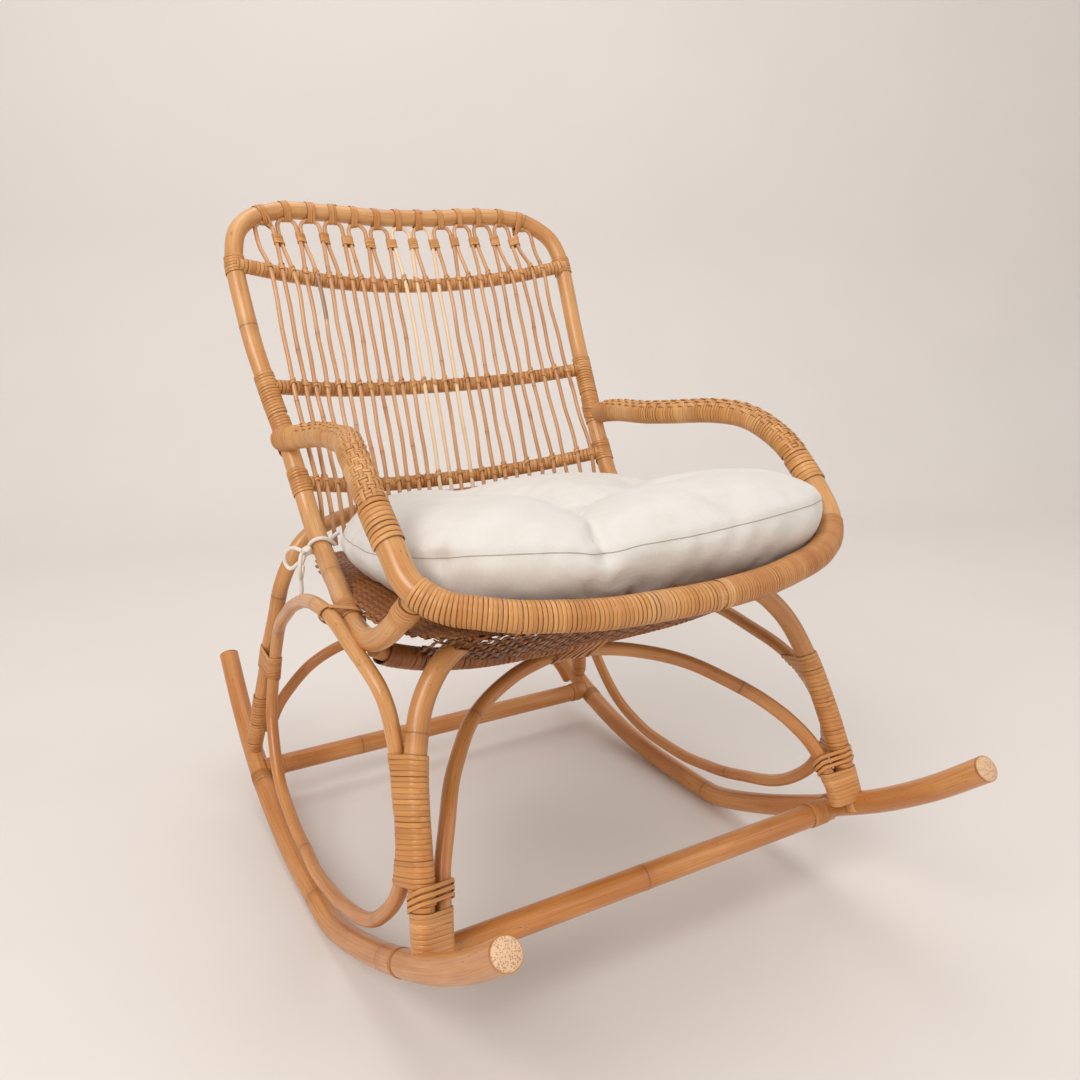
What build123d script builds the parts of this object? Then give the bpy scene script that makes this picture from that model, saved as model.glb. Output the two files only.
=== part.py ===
from build123d import *
import math
import os

# Rattan rocking chair with a tied seat cushion.
# Millimetres. The chair faces -Y, its right-hand side from the front is +X, and Z is up.
# Origin: on the floor, at the middle of the chair's footprint.
# Every pole is drawn for the -X side as a list of points on its centre line and mirrored.

# ---- pole and cane radii ----
ROCKER_R = 14.0
STRETCHER_R = 14.0
RIM_R = 14.0
HOOP_R = 12.0
LEG_R = 11.5
REAR_LEG_R = 10.5
ARCH_R = 8.5
LOOP_R = 8.0
RAIL_R = 8.5
CANE_R = 2.9
BAR_R = 8.5

# ---- binding cane, as plain sleeves over the poles ----
WRAP_T = 2.0
BINDING_T = 2.5

# ---- woven seat ----
PANEL_T = 3.0
SKIRT_T = 3.0
PANEL_HALF_W = 226.0
SKIRT_HALF_W = 222.0

# ---- cushion ----
CUSHION_H = 88.0
CUSHION_SHELL = 8.0
CUSHION_TILT = 7.2
CUSHION_Y = -57.0
CUSHION_Z = 471.0
CUSHION_EDGE = 34.0
CUSHION_PLAN = [
    (-118, -308), (118, -308), (200, -283), (246, -234), (246, -120), (234, 20), (214, 98), (172, 158),
    (112, 182), (-112, 182), (-172, 158), (-214, 98), (-234, 20), (-246, -120), (-246, -234), (-200, -283),
]

# ---- back canes ----
HAIRPINS = 13
HAIRPIN_PITCH = 33.4

# ---- tie cords ----
CORD_R = 2.5
TIE_HEIGHT = 432.0

# ---- centre lines, -X side ----
ROCKER = [
    (-283, -467, 257), (-284, -412, 208), (-286, -342, 156), (-288, -250, 102), (-289, -160, 58),
    (-290, -97, 32), (-290, -44, 14), (-288, 100, 14), (-286, 178, 24), (-284, 255, 43),
    (-281, 332, 75), (-278, 402, 118), (-275, 467.2, 173),
]
FRONT_LEG = [
    (-282, -306, 128), (-273, -283, 197), (-267, -261, 249), (-257, -236, 305),
    (-240, -215, 352), (-208, -200, 388), (-160, -192, 408),
]
FRONT_ARCH = [
    (-257, -292, 160), (-246, -268, 203), (-227, -240, 235), (-200, -200, 260), (-166, -160, 281),
    (-124, -128, 298), (-66, -106, 311), (-20, -99, 318),
]
REAR_ARCH = [
    (-284, 318, 66), (-275, 300, 134), (-266, 277, 212), (-256, 254, 288), (-242, 238, 358),
    (-213, 237, 410), (-150, 245, 431), (-60, 255, 437),
]
LOW_LOOP = [
    (-266, 256, 165), (-275, 229, 115), (-279, 183, 71), (-283, 101, 48), (-287, 5, 49),
    (-290, -83, 66), (-290, -146, 88), (-288, -192, 112), (-284, -232, 150), (-281, -258, 200),
    (-277, -256, 228),
]
LEFT_LOOP = [
    (-273, -245, 254), (-267, -220, 302), (-269, -209, 346), (-273, -195, 369), (-279, -168, 388),
    (-283, -132, 402), (-285, -84, 412), (-284, -28, 409), (-278, 32, 391), (-271, 100, 362),
    (-266, 165, 326), (-262, 217, 284), (-261, 241, 235), (-264, 252, 198),
]
RIGHT_LOOP = [
    (274, -245, 254), (266, -219, 286), (265, -180, 299), (265, -118, 309), (264, -46, 318),
    (263, 26, 320), (262, 100, 308), (262, 168, 282), (262, 218, 246), (264, 246, 204),
]
LOW_REAR_ARCH = [
    (-262, 305, 108), (-240, 302, 155), (-205, 298, 195), (-160, 294, 221), (-100, 290, 232),
    (-20, 288, 233), (60, 288, 222), (130, 290, 196), (190, 294, 158), (232, 299, 112),
    (252, 304, 78),
]
HOOP = [
    (-256, -245, 466), (-264, -205, 426), (-267, -160, 401), (-264, -105, 399), (-254, -45, 409),
    (-240, 25, 414), (-229, 92, 422), (-226, 145, 455), (-230, 185, 515), (-238, 228, 580),
    (-246, 272, 648), (-251, 305, 710), (-252, 332, 772), (-243, 350, 806), (-215, 370, 828),
    (-170, 382, 837), (-105, 384, 836), (-40, 383, 830),
]
ARM = [
    (-243, 205, 549), (-212, 128, 565), (-218, 35, 571), (-242, -45, 583), (-259, -110, 582),
    (-265, -165, 557), (-266, -208, 522), (-262, -247, 484), (-240, -272, 466), (-190, -300, 457),
    (-120, -318, 451), (-40, -327, 449),
]
SEAT_BAR = [(-264, -158, 394), (-246, -153, 382), (-205, -146, 366), (-140, -138, 352), (-60, -133, 347)]
UPPER_RAIL = [(-252, 318, 764), (-170, 330, 748), (-100, 339, 739), (-35, 344, 735)]
MID_RAIL = [(-240, 246, 612), (-170, 269, 602), (-100, 284, 596), (-35, 290, 594)]
LOWER_RAIL = [(-229, 168, 498), (-170, 205, 482), (-100, 234, 470), (-35, 248, 465)]
TOP_RAIL = HOOP[-5:]
FRONT_STRETCHER = [(-276, -270, 112), (276, -270, 112)]
REAR_STRETCHER = [(-276, 288, 58), (276, 288, 58)]


def mirrored(points):
    """The same points on the +X side."""
    return [(-x, y, z) for x, y, z in points]


def arc_radii(points):
    """The largest bend radius that each corner's two straight runs allow."""
    radii = []
    for a, b, c in zip(points, points[1:], points[2:]):
        run_in = Vector(*b) - Vector(*a)
        run_out = Vector(*c) - Vector(*b)
        turn = math.radians(run_in.get_angle(run_out))
        shorter = min(run_in.length, run_out.length)
        radii.append(0.45 * shorter / math.tan(turn / 2))
    return radii


def centre_line(points):
    """Straight runs joined by tangent arcs."""
    if len(points) == 2:
        return Polyline(*points)
    return FilletPolyline(*points, radius=arc_radii(points))


def pole(points, radius):
    """A round pole along a centre line."""
    path = centre_line(points)
    section = Plane(origin=path @ 0, z_dir=path % 0) * Circle(radius)
    return sweep(section, path=path)


def symmetric(points):
    """A centre line that runs from the -X side to the +X side."""
    return points + mirrored(points)[::-1]


def one_solid(shape):
    """The largest solid of a shape."""
    return max(shape.solids(), key=lambda s: s.volume)


def less(shape, *tools):
    """Cut neighbours away and keep the main solid."""
    box = shape.bounding_box()
    for tool in tools:
        other = tool.bounding_box()
        apart = any(
            getattr(box.min, k) > getattr(other.max, k) or getattr(other.min, k) > getattr(box.max, k)
            for k in "XYZ"
        )
        if apart:
            continue
        shape = shape - tool
    return one_solid(shape)


def flip(shape):
    """Mirror a shape to the +X side."""
    return mirror(shape, about=Plane.YZ)


def part_of_line(points, start, end):
    """Points along a stretch of a centre line, start and end as fractions of its length."""
    path = centre_line(points)
    steps = max(3, int(path.length * (end - start) / 24.0) + 1)
    knots = [path @ (start + (end - start) * i / (steps - 1)) for i in range(steps)]
    return clean([tuple(k) for k in knots])


def clean(points):
    """Drop points that lie in line with their neighbours."""
    kept = [points[0]]
    for i in range(1, len(points) - 1):
        a = Vector(*points[i]) - Vector(*kept[-1])
        b = Vector(*points[i + 1]) - Vector(*points[i])
        if a.get_angle(b) > 0.3:
            kept.append(points[i])
    kept.append(points[-1])
    return kept


def sleeve(points, start, end, radius):
    """A plain round sleeve of binding cane over part of a pole, still filled."""
    return pole(part_of_line(points, start, end), radius)


def fraction_at(points, axis, value, first=0.0, last=1.0):
    """Where along a centre line one coordinate reaches a value, between two fractions."""
    path = centre_line(points)
    best = first
    nearest = 1e9
    for i in range(401):
        t = first + (last - first) * i / 400
        miss = abs(tuple(path @ t)[axis] - value)
        if miss < nearest:
            nearest = miss
            best = t
    return best


def disc(points, fraction, radius, length):
    """A short plain collar of binding cane round a pole, still filled."""
    path = centre_line(points)
    plane = Plane(origin=path @ fraction, z_dir=path % fraction)
    return extrude(plane * Circle(radius), amount=length / 2, both=True)


# ---- back canes ----
def rail_point(rail, x):
    """The point of a rail's centre line at one X, with straight interpolation."""
    pts = symmetric(rail)
    for a, b in zip(pts, pts[1:]):
        if a[0] <= x <= b[0]:
            t = (x - a[0]) / (b[0] - a[0])
            return tuple(a[i] + t * (b[i] - a[i]) for i in range(3))
    raise ValueError(x)


def in_front(point, gap):
    """A point moved square to the reclined back, towards the sitter."""
    lean = math.radians(24.0)
    x, y, z = point
    return (x, y - gap * math.cos(lean), z + gap * math.sin(lean))


def hairpin_points(index):
    """One back cane: up from the seat, round an arch right under the top rail and down again."""
    centre = (index - (HAIRPINS - 1) / 2) * HAIRPIN_PITCH
    gap = RAIL_R + CANE_R + 0.3
    side = []
    for sign in (-1, 1):
        x = centre + sign * HAIRPIN_PITCH / 4
        x_tie = centre + sign * (HAIRPIN_PITCH / 2 - CANE_R - 0.3)
        low = in_front(rail_point(LOWER_RAIL, x), gap)
        mid = in_front(rail_point(MID_RAIL, x), gap)
        high = in_front(rail_point(UPPER_RAIL, x), gap)
        top = rail_point(TOP_RAIL, centre)
        foot = (x, low[1] - 22.0, low[2] - 78.0)
        reach = HOOP_R + CANE_R + 0.3
        tie = (x_tie, top[1] - 23.0, top[2] - 41.0)
        crown = (centre + sign * 12.5, top[1] - 0.55 * reach, top[2] - 0.835 * reach)
        side.append([foot, low, mid, high, tie, crown])
    return side[0] + side[1][::-1]


# ---- seat ----
SEAT_PROFILE = [(-322, 446), (-250, 431), (-150, 421), (-40, 415), (70, 405), (150, 396), (212, 392)]


def seat_panel():
    """The woven cane seat: a thin sagging sheet inside the frame."""
    top = [Vector(0, y, z) for y, z in SEAT_PROFILE]
    under = [Vector(0, y, z - PANEL_T) for y, z in SEAT_PROFILE]
    side = make_face(Polyline(*top, *under[::-1], close=True))
    sheet = extrude(side, amount=PANEL_HALF_W + 40, dir=(1, 0, 0), both=True)
    outline = [
        (-232, 110), (-238, 20), (-250, -60), (-262, -150), (-250, -230), (-215, -285), (-150, -306),
        (-60, -318), (60, -318), (150, -306), (215, -285), (250, -230), (262, -150), (250, -60),
        (238, 20), (232, 110), (222, 150), (205, 205), (-205, 205), (-222, 150),
    ]
    plan = extrude(make_face(Polyline(*[(x, y, 300) for x, y in outline], close=True)), amount=300)
    return sheet & plan


def seat_skirt():
    """The woven strip under the front of the seat, from the front rim back to the low seat bar."""
    rows = [
        (SKIRT_HALF_W, [(-268, 440), (-230, 424), (-190, 402), (-150, 376)]),
        (190, [(-290, 438), (-240, 412), (-190, 386), (-146, 366)]),
        (140, [(-304, 436), (-246, 403), (-190, 371), (-142, 354)]),
        (60, [(-312, 436), (-250, 400), (-190, 367), (-137, 349)]),
    ]
    rows = [(-half, edge) for half, edge in rows] + rows[::-1]
    sections = []
    for x, edge in rows:
        top = [Vector(x, y, z) for y, z in edge]
        under = [Vector(x, y, z - SKIRT_T) for y, z in edge]
        sections.append(make_face(Polyline(*top, *under[::-1], close=True)))
    return loft(sections, ruled=True)


def cushion():
    """The stuffed seat cushion as one plain soft block, hollow so that it isn't too heavy."""
    corners = [Vector(x, y - CUSHION_Y) for x, y in CUSHION_PLAN]
    count = len(corners)
    radii = []
    for i in range(count):
        run_in = corners[i] - corners[i - 1]
        run_out = corners[(i + 1) % count] - corners[i]
        turn = math.radians(run_in.get_angle(run_out))
        radii.append(0.45 * min(run_in.length, run_out.length) / math.tan(turn / 2))
    plan = make_face(FilletPolyline(*corners, radius=radii, close=True))
    block = extrude(plan, amount=CUSHION_H / 2, both=True)
    block = fillet(block.faces().filter_by(Axis.Z).edges(), CUSHION_EDGE)
    core = scale(plan, by=(1 - CUSHION_SHELL / 232, 1 - CUSHION_SHELL / 240, 1))
    hollow = extrude(core, amount=CUSHION_H / 2 - CUSHION_SHELL, both=True)
    hollow = fillet(hollow.faces().filter_by(Axis.Z).edges(), CUSHION_EDGE - CUSHION_SHELL)
    block = block - hollow
    return Pos(0, CUSHION_Y, CUSHION_Z) * Rot(-CUSHION_TILT, 0, 0) * block


def frame():
    """The poles that carry the chair."""
    parts = {}
    rocker = pole(ROCKER, ROCKER_R)
    rockers = [rocker, flip(rocker)]
    hoop = pole(symmetric(HOOP), HOOP_R)
    arm = less(pole(symmetric(ARM), RIM_R), hoop)
    leg = less(pole(FRONT_LEG, LEG_R), rocker)
    legs = [leg, flip(leg)]
    rear_arch = less(pole(symmetric(REAR_ARCH), REAR_LEG_R), *rockers, hoop)
    blockers = rockers + legs + [rear_arch, hoop]
    left_loop = less(pole(LEFT_LOOP + LOW_LOOP, LOOP_R), *blockers)
    right_loop = less(pole(RIGHT_LOOP + mirrored(LOW_LOOP), LOOP_R), *blockers)
    loops = [left_loop, right_loop]
    front_arch = less(pole(symmetric(FRONT_ARCH), ARCH_R), *legs, *loops, *rockers)
    low_arch = less(pole(LOW_REAR_ARCH, LOOP_R), rear_arch, *loops, *rockers)
    front_bar = pole(FRONT_STRETCHER, STRETCHER_R)
    rear_bar = pole(REAR_STRETCHER, STRETCHER_R)
    parts["rocker_left"], parts["rocker_right"] = rockers
    parts["arm_and_front_rim"] = arm
    parts["back_hoop"] = hoop
    parts["front_leg_left"], parts["front_leg_right"] = legs
    parts["rear_leg_arch"] = rear_arch
    parts["side_loop_left"], parts["side_loop_right"] = loops
    parts["front_arch"] = front_arch
    parts["low_rear_arch"] = low_arch
    parts["front_stretcher"] = less(front_bar, *rockers, *legs, front_arch, *loops)
    parts["rear_stretcher"] = less(rear_bar, *rockers, rear_arch, *loops, low_arch)
    seat_bar = pole(symmetric(SEAT_BAR), BAR_R)
    parts["seat_bar"] = less(seat_bar, hoop, *legs, front_arch)
    for name, line in (("upper", UPPER_RAIL), ("mid", MID_RAIL), ("lower", LOWER_RAIL)):
        rail = pole(symmetric(line), RAIL_R)
        parts["back_rail_" + name] = less(rail, hoop, rear_arch)
    return parts


def back_canes(parts):
    """The hairpin canes of the back, laid against the front of the rails."""
    rails = [parts["back_rail_" + name] for name in ("upper", "mid", "lower")]
    for index in range(HAIRPINS):
        cane = pole(hairpin_points(index), CANE_R)
        cane = less(cane, parts["back_hoop"], parts["rear_leg_arch"], *rails)
        parts["back_cane_%02d" % (index + 1)] = cane


def seat(parts):
    """The woven seat, the strip that hangs under its front, and the cushion."""
    around = [parts[n] for n in ("arm_and_front_rim", "back_hoop", "front_leg_left")]
    around += [parts[n] for n in ("front_leg_right", "seat_bar", "rear_leg_arch", "front_arch")]
    around += [parts[n] for n in ("rim_wrap", "side_rail_bindings")]
    canes = [parts["back_cane_%02d" % (i + 1)] for i in range(HAIRPINS)]
    parts["seat_panel"] = less(seat_panel(), *around, *canes)
    parts["seat_skirt"] = less(seat_skirt(), *around, parts["seat_panel"])
    parts["cushion"] = cushion()


# ---- cushion ties: one turn round each post, a knot, two bow loops and two tails ----
def tie_frame():
    """The place on the -X post where the tie is knotted: centre, outward, down and along."""
    path = centre_line(symmetric(HOOP))
    place = fraction_at(symmetric(HOOP), 2, TIE_HEIGHT, 0.08, 0.3)
    along = (path % place).normalized()
    outward = Vector(-1, 0, 0)
    outward = (outward - along * outward.dot(along)).normalized()
    down = outward.cross(along).normalized()
    if down.Z > 0:
        down = down * -1
    return path @ place, outward, down, along


def tie_turn():
    """The cord from the cushion's edge once round the post to the knot."""
    centre, outward, down, along = tie_frame()
    reach = (HOOP_R + CORD_R + 0.4) / math.cos(math.radians(22.5))
    points = []
    for step in range(9):
        angle = math.radians(200 - 45 * step)
        around = outward * math.cos(angle) + down * math.sin(angle)
        points.append(centre + around * reach + along * (7.0 - 1.9 * step))
    first = points[0] - outward * 9.0 - down * 5.0 + along * 2.0
    return [tuple(first)] + [tuple(p) for p in points]


def tie_tail():
    """A tail that leaves the knot and hangs down."""
    start = knot_centre() + Vector(-3.0, 0.0, -5.0)
    rows = [(0, 0, 0), (-5, 1, -11), (-7, 4, -23), (-5, 6, -36), (-6, 4, -49), (-9, 3, -61)]
    return [tuple(start + Vector(*row)) for row in rows]


def knot_centre():
    """The middle of the knot, on the outer front side of the post."""
    centre, outward, down, along = tie_frame()
    return centre + outward * (HOOP_R + 6.5) - along * 8.5


def tie_loop(side):
    """One loop of the bow, a drooping teardrop that starts and ends at the knot."""
    start = knot_centre() + Vector(-5.0, side * 5.0, -1.0)
    rows = [(0, 0, 0), (-5, 8, 3), (-10, 17, 1), (-14, 25, -7), (-15, 27, -18), (-12, 20, -26), (-8, 11, -23), (-4, 4, -15)]
    return [tuple(start + Vector(x, side * y, z)) for x, y, z in rows]


def cushion_ties(parts):
    """Both ties, the +X one a mirror image, with their knots."""
    knot = Pos(*knot_centre()) * Sphere(6.0)
    lines = {
        "tie_turn": tie_turn(),
        "tie_loop_front": tie_loop(-1),
        "tie_loop_back": tie_loop(1),
        "tie_tail": tie_tail(),
    }
    post = parts["back_hoop"]
    knot = less(knot, post)
    made = {}
    for name, line in lines.items():
        radii = arc_radii(line)
        length = centre_line(line).length
        tube = pole(line, CORD_R)
        share = tube.volume / (math.pi * CORD_R ** 2 * length)
        print(name, "length %.1f" % length, "volume ratio %.4f" % share, ["%.1f" % r for r in radii])
        tube = less(tube, post, knot, parts["cushion"], *made.values())
        made[name] = tube
        parts[name + "_left"] = tube
        parts[name + "_right"] = flip(tube)
    parts["tie_knots"] = Compound(children=[knot, flip(knot)])


def bindings(parts):
    """Binding cane as plain sleeves over the poles that it ties together."""
    solid = dict(parts)
    poles = [solid[n] for n in solid if not n.startswith("back_cane")]
    out = {}

    def cut(shape):
        return less(shape, *poles)

    top = fraction_at(FRONT_LEG, 2, 308)
    low = fraction_at(FRONT_LEG, 2, 150)
    leg_wrap = cut(sleeve(FRONT_LEG, low, top, LEG_R + 7.0))
    out["front_leg_wrap_left"] = leg_wrap
    out["front_leg_wrap_right"] = cut(flip(sleeve(FRONT_LEG, low, top, LEG_R + 7.0)))
    rear = symmetric(REAR_ARCH)
    low = fraction_at(rear, 2, 84, 0.0, 0.4)
    top = fraction_at(rear, 2, 172, 0.0, 0.4)
    out["rear_leg_wrap_left"] = cut(sleeve(rear, low, top, REAR_LEG_R + WRAP_T))
    out["rear_leg_wrap_right"] = cut(flip(sleeve(rear, low, top, REAR_LEG_R + WRAP_T)))
    low = fraction_at(rear, 2, 222, 0.0, 0.4)
    top = fraction_at(rear, 2, 258, 0.0, 0.4)
    out["rear_tie_left"] = cut(sleeve(rear, low, top, REAR_LEG_R + BINDING_T))
    out["rear_tie_right"] = cut(flip(sleeve(rear, low, top, REAR_LEG_R + BINDING_T)))
    arm = symmetric(ARM)
    start = fraction_at(arm, 1, 190, 0.0, 0.1)
    end = fraction_at(arm, 2, 514, 0.0, 0.4)
    out["arm_wrap_left"] = cut(sleeve(arm, start, end, RIM_R + WRAP_T))
    out["arm_wrap_right"] = cut(flip(sleeve(arm, start, end, RIM_R + WRAP_T)))
    start = fraction_at(arm, 2, 478, 0.0, 0.4)
    out["rim_wrap"] = cut(sleeve(arm, start, 1.0 - start, RIM_R + WRAP_T))
    hoop = symmetric(HOOP)
    for name, height in (("upper", 764), ("mid", 612), ("lower", 498), ("arm", 549)):
        place = fraction_at(hoop, 2, height, 0.15, 0.45)
        left = less(disc(hoop, place, HOOP_R + BINDING_T, 24), *poles, out["arm_wrap_left"])
        right = less(flip(disc(hoop, place, HOOP_R + BINDING_T, 24)), *poles, out["arm_wrap_right"])
        out["post_bindings_" + name] = Compound(children=[left, right])
    place = fraction_at(hoop, 1, -75, 0.0, 0.3)
    left = cut(disc(hoop, place, HOOP_R + BINDING_T, 18))
    right = cut(flip(disc(hoop, place, HOOP_R + BINDING_T, 18)))
    out["side_rail_bindings"] = Compound(children=[left, right])
    ties = []
    rail = symmetric(TOP_RAIL)
    for index in range(HAIRPINS):
        centre = (index - (HAIRPINS - 1) / 2) * HAIRPIN_PITCH
        place = fraction_at(rail, 0, centre)
        collar = disc(rail, place, HOOP_R + BINDING_T, 11)
        ties.append(less(collar, solid["back_hoop"], solid["back_cane_%02d" % (index + 1)]))
    out["cane_top_bindings"] = Compound(children=ties)
    parts.update(out)


def build():
    parts = frame()
    back_canes(parts)
    bindings(parts)
    seat(parts)
    cushion_ties(parts)
    return parts


if __name__ == "__main__":
    os.makedirs("parts", exist_ok=True)
    made = build()
    low = Vector(1e9, 1e9, 1e9)
    high = Vector(-1e9, -1e9, -1e9)
    for name, shape in made.items():
        box = shape.bounding_box()
        low = Vector(min(low.X, box.min.X), min(low.Y, box.min.Y), min(low.Z, box.min.Z))
        high = Vector(max(high.X, box.max.X), max(high.Y, box.max.Y), max(high.Z, box.max.Z))
        export_step(shape, "parts/%s.step" % name)
    print("box", low, high)
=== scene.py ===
import math
import random

import bpy
import numpy as np
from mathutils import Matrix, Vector
from mathutils.bvhtree import BVHTree


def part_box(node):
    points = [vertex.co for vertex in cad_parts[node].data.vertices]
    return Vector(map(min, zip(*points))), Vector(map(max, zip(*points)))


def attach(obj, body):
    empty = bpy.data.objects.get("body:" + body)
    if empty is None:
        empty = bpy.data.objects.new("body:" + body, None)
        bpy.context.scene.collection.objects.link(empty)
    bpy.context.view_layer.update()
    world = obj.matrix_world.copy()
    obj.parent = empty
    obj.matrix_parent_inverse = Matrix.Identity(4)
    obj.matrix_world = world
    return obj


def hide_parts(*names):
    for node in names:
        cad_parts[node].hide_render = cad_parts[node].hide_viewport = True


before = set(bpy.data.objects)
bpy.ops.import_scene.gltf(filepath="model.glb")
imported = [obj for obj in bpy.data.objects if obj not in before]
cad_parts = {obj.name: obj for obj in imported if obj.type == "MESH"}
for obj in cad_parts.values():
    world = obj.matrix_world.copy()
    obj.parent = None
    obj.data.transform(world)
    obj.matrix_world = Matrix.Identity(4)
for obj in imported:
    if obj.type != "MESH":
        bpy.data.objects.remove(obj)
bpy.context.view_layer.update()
BODY = "root"

# Rattan rocking chair. The centre lines are the CAD's own, in millimetres, for the -X side.
ROCKER_R, RIM_R, HOOP_R, LEG_R, REAR_R = 0.014, 0.014, 0.012, 0.0115, 0.0105
ARCH_R, LOOP_R, RAIL_R, CANE_R, BAR_R = 0.0085, 0.008, 0.0085, 0.0029, 0.0085
HAIRPINS, HAIRPIN_PITCH = 13, 33.4
ROCKER = [
    (-283, -467, 257), (-284, -412, 208), (-286, -342, 156), (-288, -250, 102), (-289, -160, 58),
    (-290, -97, 32), (-290, -44, 14), (-288, 100, 14), (-286, 178, 24), (-284, 255, 43),
    (-281, 332, 75), (-278, 402, 118), (-275, 467.2, 173),
]
FRONT_LEG = [
    (-282, -306, 128), (-273, -283, 197), (-267, -261, 249), (-257, -236, 305),
    (-240, -215, 352), (-208, -200, 388), (-160, -192, 408),
]
FRONT_ARCH = [
    (-257, -292, 160), (-246, -268, 203), (-227, -240, 235), (-200, -200, 260), (-166, -160, 281),
    (-124, -128, 298), (-66, -106, 311), (-20, -99, 318),
]
REAR_ARCH = [
    (-284, 318, 66), (-275, 300, 134), (-266, 277, 212), (-256, 254, 288), (-242, 238, 358),
    (-213, 237, 410), (-150, 245, 431), (-60, 255, 437),
]
LOW_LOOP = [
    (-266, 256, 165), (-275, 229, 115), (-279, 183, 71), (-283, 101, 48), (-287, 5, 49),
    (-290, -83, 66), (-290, -146, 88), (-288, -192, 112), (-284, -232, 150), (-281, -258, 200),
    (-277, -256, 228),
]
LEFT_LOOP = [
    (-273, -245, 254), (-267, -220, 302), (-269, -209, 346), (-273, -195, 369), (-279, -168, 388),
    (-283, -132, 402), (-285, -84, 412), (-284, -28, 409), (-278, 32, 391), (-271, 100, 362),
    (-266, 165, 326), (-262, 217, 284), (-261, 241, 235), (-264, 252, 198),
]
RIGHT_LOOP = [
    (274, -245, 254), (266, -219, 286), (265, -180, 299), (265, -118, 309), (264, -46, 318),
    (263, 26, 320), (262, 100, 308), (262, 168, 282), (262, 218, 246), (264, 246, 204),
]
LOW_REAR_ARCH = [
    (-262, 305, 108), (-240, 302, 155), (-205, 298, 195), (-160, 294, 221), (-100, 290, 232),
    (-20, 288, 233), (60, 288, 222), (130, 290, 196), (190, 294, 158), (232, 299, 112),
    (252, 304, 78),
]
HOOP = [
    (-256, -245, 466), (-264, -205, 426), (-267, -160, 401), (-264, -105, 399), (-254, -45, 409),
    (-240, 25, 414), (-229, 92, 422), (-226, 145, 455), (-230, 185, 515), (-238, 228, 580),
    (-246, 272, 648), (-251, 305, 710), (-252, 332, 772), (-243, 350, 806), (-215, 370, 828),
    (-170, 382, 837), (-105, 384, 836), (-40, 383, 830),
]
ARM = [
    (-243, 205, 549), (-212, 128, 565), (-218, 35, 571), (-242, -45, 583), (-259, -110, 582),
    (-265, -165, 557), (-266, -208, 522), (-262, -247, 484), (-240, -272, 466), (-190, -300, 457),
    (-120, -318, 451), (-40, -327, 449),
]
SEAT_BAR = [(-264, -158, 394), (-246, -153, 382), (-205, -146, 366), (-140, -138, 352), (-60, -133, 347)]
UPPER_RAIL = [(-252, 318, 764), (-170, 330, 748), (-100, 339, 739), (-35, 344, 735)]
MID_RAIL = [(-240, 246, 612), (-170, 269, 602), (-100, 284, 596), (-35, 290, 594)]
LOWER_RAIL = [(-229, 168, 498), (-170, 205, 482), (-100, 234, 470), (-35, 248, 465)]
TOP_RAIL = HOOP[-5:]
FRONT_STRETCHER = [(-276, -270, 112), (276, -270, 112)]
REAR_STRETCHER = [(-276, 288, 58), (276, 288, 58)]


def mirrored(points):
    return [(-x, y, z) for x, y, z in points]


def symmetric(points):
    return points + mirrored(points)[::-1]


# ---- centre lines
def bent(points):
    """Straight runs joined by tangent arcs, as a dense array in metres."""
    pts = [Vector(p) * 0.001 for p in points]
    out = [pts[0]]
    for a, b, c in zip(pts, pts[1:], pts[2:]):
        run_in, run_out = b - a, c - b
        u, w = run_in.normalized(), run_out.normalized()
        turn = u.angle(w)
        if turn < 0.002:
            out.append(b)
            continue
        reach = 0.45 * min(run_in.length, run_out.length)
        radius = reach / math.tan(turn / 2)
        inward = (w - u * u.dot(w)).normalized()
        centre = b - u * reach + inward * radius
        steps = max(3, int(turn / 0.06))
        for i in range(steps + 1):
            t = turn * i / steps
            out.append(centre - inward * radius * math.cos(t) + u * radius * math.sin(t))
    out.append(pts[-1])
    return np.array([tuple(p) for p in out])


def unit(v):
    return v / np.maximum(np.linalg.norm(v, axis=-1, keepdims=True), 1e-12)


def bump(distance, width):
    """1 at no distance, fading smoothly to 0 past the width."""
    return np.exp(-((distance / width) ** 2))


def spokes(n, b, angle):
    """For each row, the directions at these angles in its cross plane."""
    return n[:, None] * np.cos(angle)[None, :, None] + b[:, None] * np.sin(angle)[None, :, None]


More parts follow.
